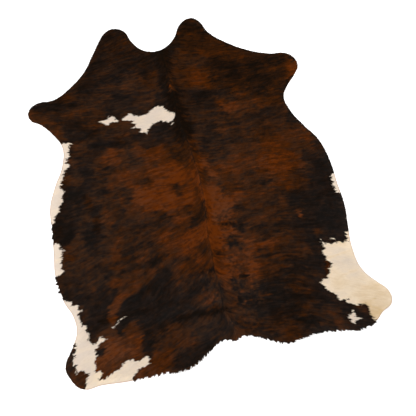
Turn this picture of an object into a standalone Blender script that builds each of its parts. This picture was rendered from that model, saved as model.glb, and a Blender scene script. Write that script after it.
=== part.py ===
"""A cowhide rug: one whole hide with the hair on, lying hair side up on the floor.

Metres, +Z up. +Y runs along the spine from the tail to the neck, and +X is to the right of someone who
stands at the tail and looks at the neck. The underside rests on z = 0, and the hide's box is centred on
x = y = 0. The hide is one piece of leather, cut along its rim, so it is one object.
"""

import math
from collections import namedtuple

import bmesh
import bpy
from mathutils import Matrix, Vector
from mathutils.kdtree import KDTree

# Thickness, from the underside up
LEATHER = 0.0025  # tanned skin
COAT = 0.0035  # hair combed flat on it
RIM_THICKNESS = 0.0035  # where the coat thins out at the cut rim
RIM_TAPER = 0.055  # how far in from the rim the coat reaches its full depth

# Fineness of the sheet
RIM_STEPS = 3  # straight pieces between two marks of the rim
CELL = 0.045  # pitch of the squares that the sheet bends along
MERGE = 0.0001  # points closer than this are one
SHARP_ANGLE = 40.0  # degrees; the cut rim stays crisp

# Look of the bare solid
COAT_COLOUR = (0.085, 0.034, 0.016, 1.0)
COAT_ROUGHNESS = 0.62

# The rim, clockwise from the left neck lobe, as a smooth line through these marks.
# across is the distance from the spine, and along the distance from the middle of the hide to the neck.
Mark = namedtuple("Mark", "across along")
RIM = {
    "left neck lobe": (
        Mark(-0.405, 0.960),
        Mark(-0.340, 1.055),
        Mark(-0.295, 1.105),
        Mark(-0.235, 1.122),
        Mark(-0.175, 1.090),
        Mark(-0.145, 1.010),
        Mark(-0.100, 0.938),
        Mark(-0.050, 0.905),
        Mark(0.000, 0.896),
    ),
    "right neck lobe": (
        Mark(0.060, 0.915),
        Mark(0.120, 0.965),
        Mark(0.185, 1.060),
        Mark(0.250, 1.086),
        Mark(0.300, 1.055),
        Mark(0.340, 0.965),
        Mark(0.430, 0.860),
        Mark(0.550, 0.770),
    ),
    "right fore leg": (
        Mark(0.690, 0.710),
        Mark(0.770, 0.692),
        Mark(0.813, 0.652),
        Mark(0.827, 0.580),
        Mark(0.795, 0.530),
        Mark(0.725, 0.458),
        Mark(0.682, 0.385),
    ),
    "right flank": (
        Mark(0.695, 0.290),
        Mark(0.750, 0.165),
        Mark(0.806, 0.050),
        Mark(0.832, -0.110),
        Mark(0.828, -0.250),
        Mark(0.828, -0.410),
        Mark(0.808, -0.530),
        Mark(0.790, -0.680),
    ),
    "right hind leg": (
        Mark(0.810, -0.800),
        Mark(0.868, -0.885),
        Mark(0.911, -0.950),
        Mark(0.905, -1.020),
        Mark(0.845, -1.055),
        Mark(0.790, -1.098),
        Mark(0.690, -1.122),
        Mark(0.575, -1.098),
    ),
    "rump": (
        Mark(0.410, -1.086),
        Mark(0.285, -1.100),
        Mark(0.180, -1.050),
        Mark(0.060, -1.004),
        Mark(0.012, -1.016),
        Mark(-0.050, -1.001),
        Mark(-0.160, -1.056),
        Mark(-0.280, -1.109),
        Mark(-0.420, -1.099),
        Mark(-0.600, -1.098),
    ),
    "left hind leg": (
        Mark(-0.740, -1.084),
        Mark(-0.850, -1.080),
        Mark(-0.900, -1.015),
        Mark(-0.915, -0.950),
        Mark(-0.862, -0.850),
        Mark(-0.820, -0.770),
        Mark(-0.822, -0.680),
    ),
    "left flank": (
        Mark(-0.860, -0.575),
        Mark(-0.878, -0.430),
        Mark(-0.866, -0.300),
        Mark(-0.850, -0.150),
        Mark(-0.835, 0.000),
        Mark(-0.790, 0.115),
        Mark(-0.715, 0.260),
    ),
    "left fore leg": (
        Mark(-0.698, 0.365),
        Mark(-0.735, 0.460),
        Mark(-0.795, 0.545),
        Mark(-0.858, 0.600),
        Mark(-0.848, 0.665),
        Mark(-0.800, 0.700),
        Mark(-0.695, 0.704),
        Mark(-0.570, 0.770),
        Mark(-0.475, 0.855),
    ),
}

# Low ridges that the skin keeps from the animal's back and from storage: a line from one point to another,
# raised to its height in the middle and sinking to the floor half_width to each side and at both ends.
RIDGE_END_POWER = 4  # the higher, the longer a crest stays level and the shorter it fades at its ends
Ridge = namedtuple("Ridge", "name from_across from_along to_across to_along half_width height")
RIDGES = (
    Ridge("spine", 0.012, 0.930, 0.012, -1.040, 0.070, 0.0045),
    Ridge("crease beside the tail", -0.420, -0.840, 0.010, -0.800, 0.062, 0.0060),
    Ridge("hollow of the left thigh", -0.640, -0.700, -0.300, -0.690, 0.060, 0.0035),
    Ridge("left shoulder blade", -0.560, 0.310, -0.160, 0.270, 0.065, 0.0030),
    Ridge("right shoulder blade", 0.140, 0.300, 0.600, 0.360, 0.065, 0.0030),
    Ridge("right hip", 0.180, -0.500, 0.560, -0.520, 0.065, 0.0035),
    Ridge("right thigh, upper crease", 0.560, -0.720, 0.880, -0.640, 0.058, 0.0045),
    Ridge("right thigh, lower crease", 0.560, -0.880, 0.900, -0.790, 0.058, 0.0040),
)

# Places where the rim stands off the floor: round swells centred on or near the rim.
Lift = namedtuple("Lift", "name across along reach height")
LIFTS = (
    Lift("left neck lobe", -0.260, 1.130, 0.200, 0.0070),
    Lift("neck notch", 0.010, 0.900, 0.150, 0.0050),
    Lift("right neck lobe", 0.290, 1.100, 0.180, 0.0095),
    Lift("right shoulder", 0.500, 0.820, 0.170, 0.0045),
    Lift("right fore shank", 0.850, 0.610, 0.190, 0.0110),
    Lift("right armpit", 0.690, 0.370, 0.140, 0.0065),
    Lift("right flank, upper", 0.800, 0.050, 0.160, 0.0060),
    Lift("right flank, lower", 0.850, -0.330, 0.190, 0.0085),
    Lift("right stifle", 0.800, -0.700, 0.150, 0.0055),
    Lift("right hind shank", 0.940, -0.990, 0.190, 0.0120),
    Lift("right rump", 0.400, -1.120, 0.170, 0.0065),
    Lift("left rump", -0.300, -1.140, 0.180, 0.0085),
    Lift("left hind inner rim", -0.640, -1.120, 0.150, 0.0050),
    Lift("left hind shank", -0.930, -0.990, 0.180, 0.0105),
    Lift("left stifle", -0.830, -0.720, 0.150, 0.0060),
    Lift("left flank tip", -0.900, -0.430, 0.170, 0.0095),
    Lift("left flank, upper", -0.850, -0.060, 0.170, 0.0065),
    Lift("left armpit", -0.710, 0.330, 0.140, 0.0070),
    Lift("left fore shank", -0.880, 0.640, 0.190, 0.0100),
    Lift("left shoulder", -0.540, 0.810, 0.150, 0.0045),
)


def clear_scene():
    for obj in list(bpy.data.objects):
        bpy.data.objects.remove(obj, do_unlink=True)


def soft_bump(share):
    """1 at the middle of a bump, falling smoothly to 0 at its edge, where share is 1, and 0 beyond it."""
    return (1.0 - share * share) ** 2 if share < 1.0 else 0.0


def ridge_height(ridge, point):
    start = Vector((ridge.from_across, ridge.from_along))
    run = Vector((ridge.to_across, ridge.to_along)) - start
    share = (point - start).dot(run) / run.length_squared
    beside = (point - start - share * run).length
    from_middle = abs(2.0 * share - 1.0)
    fade = soft_bump(from_middle**RIDGE_END_POWER)
    return ridge.height * fade * soft_bump(beside / ridge.half_width)


def lift_height(lift, point):
    away = (point - Vector((lift.across, lift.along))).length
    return lift.height * soft_bump(away / lift.reach)


def floor_gap(point):
    """How far the underside stands off the floor at a point of the hide: 0 where it rests."""
    swell = sum(lift_height(lift, point) for lift in LIFTS)
    fold = sum(ridge_height(ridge, point) for ridge in RIDGES)
    return swell + fold


def rim_curve():
    """The cut line of the hide as one closed, filled 2D curve."""
    marks = [mark for section in RIM.values() for mark in section]
    data = bpy.data.curves.new("rim", "CURVE")
    data.dimensions = "2D"
    data.fill_mode = "BOTH"
    data.resolution_u = RIM_STEPS
    spline = data.splines.new("BEZIER")
    spline.bezier_points.add(len(marks) - 1)
    for point, mark in zip(spline.bezier_points, marks):
        point.co = (mark.across, mark.along, 0.0)
        point.handle_left_type = "AUTO"
        point.handle_right_type = "AUTO"
    spline.use_cyclic_u = True
    curve = bpy.data.objects.new("rim", data)
    bpy.context.scene.collection.objects.link(curve)
    return curve


def mesh_from_curve(curve):
    graph = bpy.context.evaluated_depsgraph_get()
    mesh = bpy.data.meshes.new_from_object(curve.evaluated_get(graph))
    bpy.data.objects.remove(curve, do_unlink=True)
    return mesh


def cell_lines(low, high):
    """Evenly pitched cutting places between two limits, one of them through 0."""
    first = math.ceil(low / CELL)
    last = math.floor(high / CELL)
    return [step * CELL for step in range(first, last + 1)]


def cut_into_cells(sheet):
    """Makes the filled outline one flat face that looks up, then cuts it along a square grid."""
    bmesh.ops.remove_doubles(sheet, verts=sheet.verts[:], dist=MERGE)
    bmesh.ops.dissolve_faces(sheet, faces=sheet.faces[:])
    for face in sheet.faces:
        if face.normal.z < 0.0:
            face.normal_flip()
    for axis in (0, 1):
        normal = Vector((0.0, 0.0, 0.0))
        normal[axis] = 1.0
        low = min(vert.co[axis] for vert in sheet.verts)
        high = max(vert.co[axis] for vert in sheet.verts)
        for place in cell_lines(low, high):
            geometry = sheet.verts[:] + sheet.edges[:] + sheet.faces[:]
            bmesh.ops.bisect_plane(
                sheet, geom=geometry, dist=MERGE, plane_co=normal * place, plane_no=normal
            )


def rim_distances(sheet):
    """For each point of the sheet, the distance to the cut rim, by index."""
    sheet.verts.index_update()
    rim = []
    for edge in sheet.edges:
        if edge.is_boundary:
            rim += [edge.verts[0].co.copy(), (edge.verts[0].co + edge.verts[1].co) / 2.0]
    tree = KDTree(len(rim))
    for index, point in enumerate(rim):
        tree.insert(point, index)
    tree.balance()
    return [tree.find(vert.co)[2] for vert in sheet.verts]


def thickness_at(distance_from_rim):
    full = LEATHER + COAT
    share = 1.0 - soft_bump(distance_from_rim / RIM_TAPER)
    return RIM_THICKNESS + (full - RIM_THICKNESS) * share


def hide_material():
    material = bpy.data.materials.new("brindle_coat")
    material.use_nodes = True
    shader = material.node_tree.nodes["Principled BSDF"]
    shader.inputs["Base Color"].default_value = COAT_COLOUR
    shader.inputs["Roughness"].default_value = COAT_ROUGHNESS
    shader.inputs["Metallic"].default_value = 0.0
    return material


def centre_on_origin(obj):
    """Moves the sheet in its own plane so that the finished hide's box is centred on x = y = 0."""
    graph = bpy.context.evaluated_depsgraph_get()
    corners = [Vector(corner) for corner in obj.evaluated_get(graph).bound_box]
    low_x, high_x = min(c.x for c in corners), max(c.x for c in corners)
    low_y, high_y = min(c.y for c in corners), max(c.y for c in corners)
    shift = Vector((-(low_x + high_x) / 2.0, -(low_y + high_y) / 2.0, 0.0))
    obj.data.transform(Matrix.Translation(shift))


def build_hide(collection):
    """The skin's underside as a cut sheet with its folds, thickened upwards by the leather and the coat."""
    mesh = mesh_from_curve(rim_curve())
    sheet = bmesh.new()
    sheet.from_mesh(mesh)
    cut_into_cells(sheet)
    depths = [thickness_at(distance) for distance in rim_distances(sheet)]
    for vert in sheet.verts:
        vert.co.z = floor_gap(vert.co.xy)
    sheet.to_mesh(mesh)
    sheet.free()
    mesh.name = "hide"
    hide = bpy.data.objects.new("hide", mesh)
    collection.objects.link(hide)
    coat_depth = hide.vertex_groups.new(name="coat_depth")
    for index, depth in enumerate(depths):
        coat_depth.add([index], depth / (LEATHER + COAT), "REPLACE")
    solidify = hide.modifiers.new("thickness", "SOLIDIFY")
    solidify.thickness = LEATHER + COAT
    solidify.offset = 1.0
    solidify.vertex_group = coat_depth.name
    mesh.materials.clear()
    mesh.materials.append(hide_material())
    mesh.shade_smooth()
    mesh.set_sharp_from_angle(angle=math.radians(SHARP_ANGLE))
    centre_on_origin(hide)
    return hide


def main():
    clear_scene()
    collection = bpy.data.collections.new("cowhide_rug")
    bpy.context.scene.collection.children.link(collection)
    build_hide(collection)


main()
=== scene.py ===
"""The look of the cowhide rug: the tanned hide, its coat of short hair, a pale floor, light and camera.

Metres, +Z up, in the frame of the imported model. across runs from the spine to the right, and along from the
middle of the hide to the neck. Each lock of hair is a small peaked wedge that lies on the hide.
"""

import math
from collections import namedtuple

import bpy
import numpy as np
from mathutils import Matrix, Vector
from mathutils.geometry import delaunay_2d_cdt


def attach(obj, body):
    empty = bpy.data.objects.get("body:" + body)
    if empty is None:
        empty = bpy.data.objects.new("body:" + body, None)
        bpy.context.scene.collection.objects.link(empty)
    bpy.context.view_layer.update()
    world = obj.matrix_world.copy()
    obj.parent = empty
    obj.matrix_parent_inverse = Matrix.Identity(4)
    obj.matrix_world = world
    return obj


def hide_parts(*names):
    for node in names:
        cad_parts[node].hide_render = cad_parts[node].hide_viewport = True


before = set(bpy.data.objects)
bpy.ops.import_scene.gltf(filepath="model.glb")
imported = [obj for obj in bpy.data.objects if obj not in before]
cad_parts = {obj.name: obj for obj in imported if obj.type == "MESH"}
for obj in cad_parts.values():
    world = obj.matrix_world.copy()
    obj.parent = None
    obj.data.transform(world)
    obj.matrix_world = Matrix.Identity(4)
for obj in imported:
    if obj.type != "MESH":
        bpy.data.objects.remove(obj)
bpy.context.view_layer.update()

# -------- sizes, as in the model's solid
LEATHER = 0.0025  # tanned skin
COAT = 0.0035  # hair combed flat on it
RIM_COAT = 0.0010  # the coat's depth at the cut rim
RIM_TAPER = 0.055  # how far in from the rim the coat reaches its full depth
RIDGE_END_POWER = 4  # the higher, the longer a crest stays level and the shorter it fades at its ends

# -------- fineness
RIM_STEPS = 10  # straight pieces between two marks of the rim
SHEET_PITCH = 0.012  # distance between the points of the leather sheet
FIELD_PITCH = 0.005  # distance between the places where the maps are worked out
FIELD_LOW, FIELD_HIGH = np.array((-0.96, -1.18)), np.array((0.96, 1.18))  # the corners of the maps
LOCKS = 360000  # how many locks lie on the hide, about
SEED = 7

# -------- camera and light
CAMERA_TARGET = (0.0540, -0.2191, 0.0)
CAMERA_DISTANCE = 5.0364
CAMERA_HEADING = (0.2392, 0.97097)  # the way the camera looks, seen from above
CAMERA_ELEVATION = math.radians(67.0)
CAMERA_LENS, CAMERA_SENSOR = 75.0, 36.0  # millimetres
CAMERA_FAR = 60.0  # nothing beyond this is seen
LAMP_SIZE = 2.0  # both lamps are round, and this wide
KEY_PLACE, KEY_POWER = (-4.2, -0.6, 3.6), 300.0
FILL_PLACE, FILL_POWER = (4.0, 1.2, 3.2), 240.0
SKY_STRENGTH = 0.12  # the even light from all around
FLOOR_HALF = 25.0  # from its middle to a side
FLOOR_BELOW = 0.0003  # how far the floor lies under the hide, so that the two don't touch
FLOOR_GLOW = 0.6

# -------- the rim
# The rim, clockwise from the left neck lobe, as a smooth line through these marks.
RIM = (
    # left neck lobe
    (-0.405, 0.960), (-0.340, 1.055), (-0.295, 1.105), (-0.235, 1.122), (-0.175, 1.090),
    (-0.145, 1.010), (-0.100, 0.938), (-0.050, 0.905), (0.000, 0.896),
    # right neck lobe
    (0.060, 0.915), (0.120, 0.965), (0.185, 1.060), (0.250, 1.086), (0.300, 1.055),
    (0.340, 0.965), (0.430, 0.860), (0.550, 0.770),
    # right fore leg
    (0.690, 0.710), (0.770, 0.692), (0.813, 0.652), (0.827, 0.580), (0.795, 0.530),
    (0.725, 0.458), (0.682, 0.385),
    # right flank
    (0.695, 0.290), (0.750, 0.165), (0.806, 0.050), (0.832, -0.110), (0.828, -0.250),
    (0.828, -0.410), (0.808, -0.530), (0.790, -0.680),
    # right hind leg
    (0.810, -0.800), (0.868, -0.885), (0.911, -0.950), (0.905, -1.020), (0.845, -1.055),
    (0.790, -1.098), (0.690, -1.122), (0.575, -1.098),
    # rump
    (0.410, -1.086), (0.285, -1.100), (0.180, -1.050), (0.060, -1.004), (0.012, -1.016),
    (-0.050, -1.001), (-0.160, -1.056), (-0.280, -1.109), (-0.420, -1.099), (-0.600, -1.098),
    # left hind leg
    (-0.740, -1.084), (-0.850, -1.080), (-0.900, -1.015), (-0.915, -0.950), (-0.862, -0.850),
    (-0.820, -0.770), (-0.822, -0.680),
    # left flank
    (-0.860, -0.575), (-0.878, -0.430), (-0.866, -0.300), (-0.850, -0.150), (-0.835, 0.000),
    (-0.790, 0.115), (-0.715, 0.260),
    # left fore leg
    (-0.698, 0.365), (-0.735, 0.460), (-0.795, 0.545), (-0.858, 0.600), (-0.848, 0.665),
    (-0.800, 0.700), (-0.695, 0.704), (-0.570, 0.770), (-0.475, 0.855),
)

# -------- how the hide lies
Ridge = namedtuple("Ridge", "name from_across from_along to_across to_along half_width height")
RIDGES = (
    Ridge("spine", 0.012, 0.930, 0.012, -1.040, 0.070, 0.0045),
    Ridge("crease beside the tail", -0.420, -0.840, 0.010, -0.800, 0.062, 0.0060),
    Ridge("hollow of the left thigh", -0.640, -0.700, -0.300, -0.690, 0.060, 0.0035),
    Ridge("left shoulder blade", -0.560, 0.310, -0.160, 0.270, 0.065, 0.0030),
    Ridge("right shoulder blade", 0.140, 0.300, 0.600, 0.360, 0.065, 0.0030),
    Ridge("right hip", 0.180, -0.500, 0.560, -0.520, 0.065, 0.0035),
    Ridge("right thigh, upper crease", 0.560, -0.720, 0.880, -0.640, 0.058, 0.0045),
    Ridge("right thigh, lower crease", 0.560, -0.880, 0.900, -0.790, 0.058, 0.0040),
)

# Places where the rim stands off the floor: round swells centred on or near the rim.
Lift = namedtuple("Lift", "name across along reach height")
LIFTS = (
    Lift("left neck lobe", -0.260, 1.130, 0.200, 0.0070),
    Lift("neck notch", 0.010, 0.900, 0.150, 0.0050),
    Lift("right neck lobe", 0.290, 1.100, 0.180, 0.0095),
    Lift("right shoulder", 0.500, 0.820, 0.170, 0.0045),
    Lift("right fore shank", 0.850, 0.610, 0.190, 0.0110),
    Lift("right armpit", 0.690, 0.370, 0.140, 0.0065),
    Lift("right flank, upper", 0.800, 0.050, 0.160, 0.0060),
    Lift("right flank, lower", 0.850, -0.330, 0.190, 0.0085),
    Lift("right stifle", 0.800, -0.700, 0.150, 0.0055),
    Lift("right hind shank", 0.940, -0.990, 0.190, 0.0120),
    Lift("right rump", 0.400, -1.120, 0.170, 0.0065),
    Lift("left rump", -0.300, -1.140, 0.180, 0.0085),
    Lift("left hind inner rim", -0.640, -1.120, 0.150, 0.0050),
    Lift("left hind shank", -0.930, -0.990, 0.180, 0.0105),
    Lift("left stifle", -0.830, -0.720, 0.150, 0.0060),
    Lift("left flank tip", -0.900, -0.430, 0.170, 0.0095),
    Lift("left flank, upper", -0.850, -0.060, 0.170, 0.0065),
    Lift("left armpit", -0.710, 0.330, 0.140, 0.0070),
    Lift("left fore shank", -0.880, 0.640, 0.190, 0.0100),
    Lift("left shoulder", -0.540, 0.810, 0.150, 0.0045),
)

# -------- how the hair lies
# Beside the spine the hair turns from tailward to outward. left and right are how steeply it then slopes
# tailward on its way to each flank, and left_more and right_more how much is added beyond FAR_OUT.
SPINE_SWEEP = 0.055  # how far tailward a hair line runs before it has turned outward
SPINE_REACH = 0.028  # how far from the spine it turns
PARTING_WIDTH = 0.006  # how far out from the spine the dark parting shows
PARTING_DARK = 0.30  # how much darker its middle is
RIGHT_SIDE = 37.0  # a shift, in cells, by which the right half reads other noise than the left
SPINE_MARKS = (  # across and along
    (0.030, -1.10), (0.030, -1.00), (0.020, -0.91), (-0.010, -0.83), (0.008, -0.68), (-0.006, -0.61),
    (0.007, -0.51), (0.012, -0.39), (0.045, -0.17), (0.055, 0.00), (0.045, 0.15), (0.028, 0.33),
    (0.022, 0.43), (0.030, 0.65), (0.020, 0.90),
)
FAR_OUT = 0.42  # from the spine
Lean = namedtuple("Lean", "along left left_more right right_more")
LEANS = (
    Lean(1.15, 0.60, 0.00, 0.60, 0.00),
    Lean(0.95, 0.30, 0.10, 0.35, 0.10),
    Lean(0.70, 0.00, -0.10, 0.02, -0.05),
    Lean(0.50, -0.04, -0.12, -0.02, -0.05),
    Lean(0.20, 0.05, 0.00, 0.04, 0.02),
    Lean(-0.10, 0.08, 0.02, 0.03, 0.08),
    Lean(-0.40, 0.25, -0.10, 0.02, 0.12),
    Lean(-0.70, 0.55, -0.35, 0.05, 0.25),
    Lean(-0.90, 0.40, -0.10, 0.10, 0.25),
    Lean(-1.15, 0.30, 0.20, 0.15, 0.20),
)

# Where the hair reaches past the cut edge, as soft runs along the rim
Fringe = namedtuple("Fringe", "name from_across from_along to_across to_along half_width reach")
FRINGE_LEAST = 0.0012  # the same reach where no fringe is named
FRINGE_CLUMP = 0.0115  # half the usual distance from one clump of hair at the rim to the next
CLUMP_DEPTH = 2.8  # the higher, the deeper and wider the gaps between them
CLUMP_SLANT = 0.5  # how far the clumps point along the hair and not straight out
TRIM_STEPS = 14  # a lock is trimmed to a whole number of these parts
FRINGE_TURN = 0.034  # how far inside a fringed rim the hair starts to turn towards it
FRINGES = (
    Fringe("rump, right", 0.180, -1.060, 0.560, -1.090, 0.120, 0.009),
    Fringe("tail", -0.060, -1.010, 0.120, -1.020, 0.100, 0.006),
    Fringe("rump, left", -0.640, -1.100, -0.180, -1.080, 0.120, 0.011),
    Fringe("right toe", 0.700, -1.110, 0.850, -1.070, 0.080, 0.009),
    Fringe("left stifle", -0.870, -0.480, -0.810, -0.840, 0.090, 0.009),
    Fringe("left belly", -0.870, -0.240, -0.800, 0.080, 0.080, 0.006),
    Fringe("left fore shank", -0.860, 0.590, -0.850, 0.680, 0.070, 0.003),
)

# -------- white patches
PATCH_INSET = 0.003  # the dark hair beside a patch hangs over its outline by this much
# Outlines of the cream patches, in millimetres. Where one reaches the rim its outline runs on outside it.
PATCHES = {
    "shoulder": (
        (-330, 468), (-300, 486), (-280, 499), (-258, 503), (-225, 476), (-185, 466), (-158, 474),
        (-142, 495), (-105, 505), (-86, 517), (-68, 508), (-40, 473), (-14, 448), (8, 431), (7, 414),
        (-18, 384), (-40, 382), (-60, 392), (-95, 402), (-130, 393), (-155, 377), (-178, 366), (-175, 335),
        (-190, 342), (-230, 358), (-220, 375), (-255, 394), (-270, 400), (-245, 415), (-265, 448),
        (-295, 456),
    ),
    "shoulder, outer": (
        (-462, 489), (-427, 496), (-398, 500), (-380, 514), (-358, 510), (-354, 480), (-330, 461),
        (-352, 458), (-383, 463), (-406, 452), (-428, 461), (-446, 474),
    ),
    "shoulder, fleck": (
        (-36, 358), (-24, 377), (-8, 366), (-20, 364),
    ),
    "left belly": (
        (-720, 402), (-655, 391), (-630, 386), (-655, 375), (-662, 350), (-680, 325), (-668, 295),
        (-694, 255), (-680, 245), (-712, 210), (-728, 165), (-746, 140), (-760, 108), (-752, 88), (-742, 76),
        (-760, 35), (-765, 0), (-778, -25), (-820, -80), (-830, -100), (-860, -122), (-930, -120),
        (-930, 390),
    ),
    "left flank": (
        (-870, -220), (-828, -225), (-812, -242), (-820, -270), (-806, -284), (-818, -300), (-828, -350),
        (-835, -380), (-828, -395), (-846, -427), (-870, -430), (-960, -400), (-960, -220),
    ),
    "left hind leg": (
        (-890, -560), (-845, -575), (-815, -592), (-828, -615), (-795, -612), (-780, -620), (-792, -645),
        (-758, -657), (-803, -670), (-785, -705), (-782, -735), (-762, -730), (-770, -765), (-762, -800),
        (-767, -828), (-750, -857), (-722, -838), (-700, -819), (-696, -840), (-660, -845), (-703, -858),
        (-725, -878), (-748, -905), (-735, -930), (-760, -965), (-762, -1005), (-738, -1005), (-728, -1022),
        (-744, -1050), (-725, -1054), (-665, -1028), (-640, -1020), (-625, -1008), (-588, -975),
        (-560, -987), (-520, -998), (-495, -992), (-469, -985), (-465, -1027), (-500, -1050), (-530, -1045),
        (-560, -1073), (-575, -1100), (-590, -1170), (-845, -1110), (-825, -1050), (-810, -1015),
        (-828, -985), (-850, -985), (-873, -1005), (-866, -965), (-866, -930), (-888, -942), (-860, -900),
        (-840, -835), (-930, -800), (-950, -665),
    ),
    "left thigh": (
        (-624, -790), (-599, -779), (-576, -757), (-549, -735), (-580, -748), (-606, -771),
    ),
    "right belly": (
        (880, -180), (822, -180), (803, -182), (812, -200), (812, -240), (802, -255), (798, -272),
        (806, -292), (818, -310), (880, -330),
    ),
    "right hind leg": (
        (865, -480), (820, -473), (808, -513), (800, -545), (778, -580), (772, -612), (745, -606),
        (718, -604), (708, -594), (698, -606), (680, -600), (668, -588), (655, -596), (645, -575),
        (636, -566), (635, -620), (614, -650), (632, -668), (632, -690), (650, -720), (634, -735),
        (622, -758), (612, -785), (555, -812), (585, -860), (609, -896), (634, -903), (625, -925),
        (643, -940), (668, -938), (661, -952), (695, -976), (698, -998), (735, -990), (745, -1004),
        (758, -988), (768, -1010), (770, -1035), (775, -1062), (790, -1094), (812, -1130), (930, -1125),
        (1000, -910), (950, -490),
    ),
    "right hind, dot": (
        (692, -566), (712, -568), (716, -585), (694, -583),
    ),
    "right hind, crescent": (
        (650, -1035), (669, -1021), (696, -1009), (702, -1029), (690, -1044), (694, -1052), (716, -1062),
        (694, -1072), (675, -1087), (663, -1074),
    ),
}

# -------- brindle
# Soft strokes laid over one another from first to last: from across, from along, to across, to along and half
# width in millimetres, and then a level in hundredths.
Stroke = namedtuple("Stroke", "from_across from_along to_across to_along half_width level")

STROKE_REACH = 1.25  # a stroke fades out at this many half widths
STROKE_FADE = 0.85  # and over this many

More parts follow.
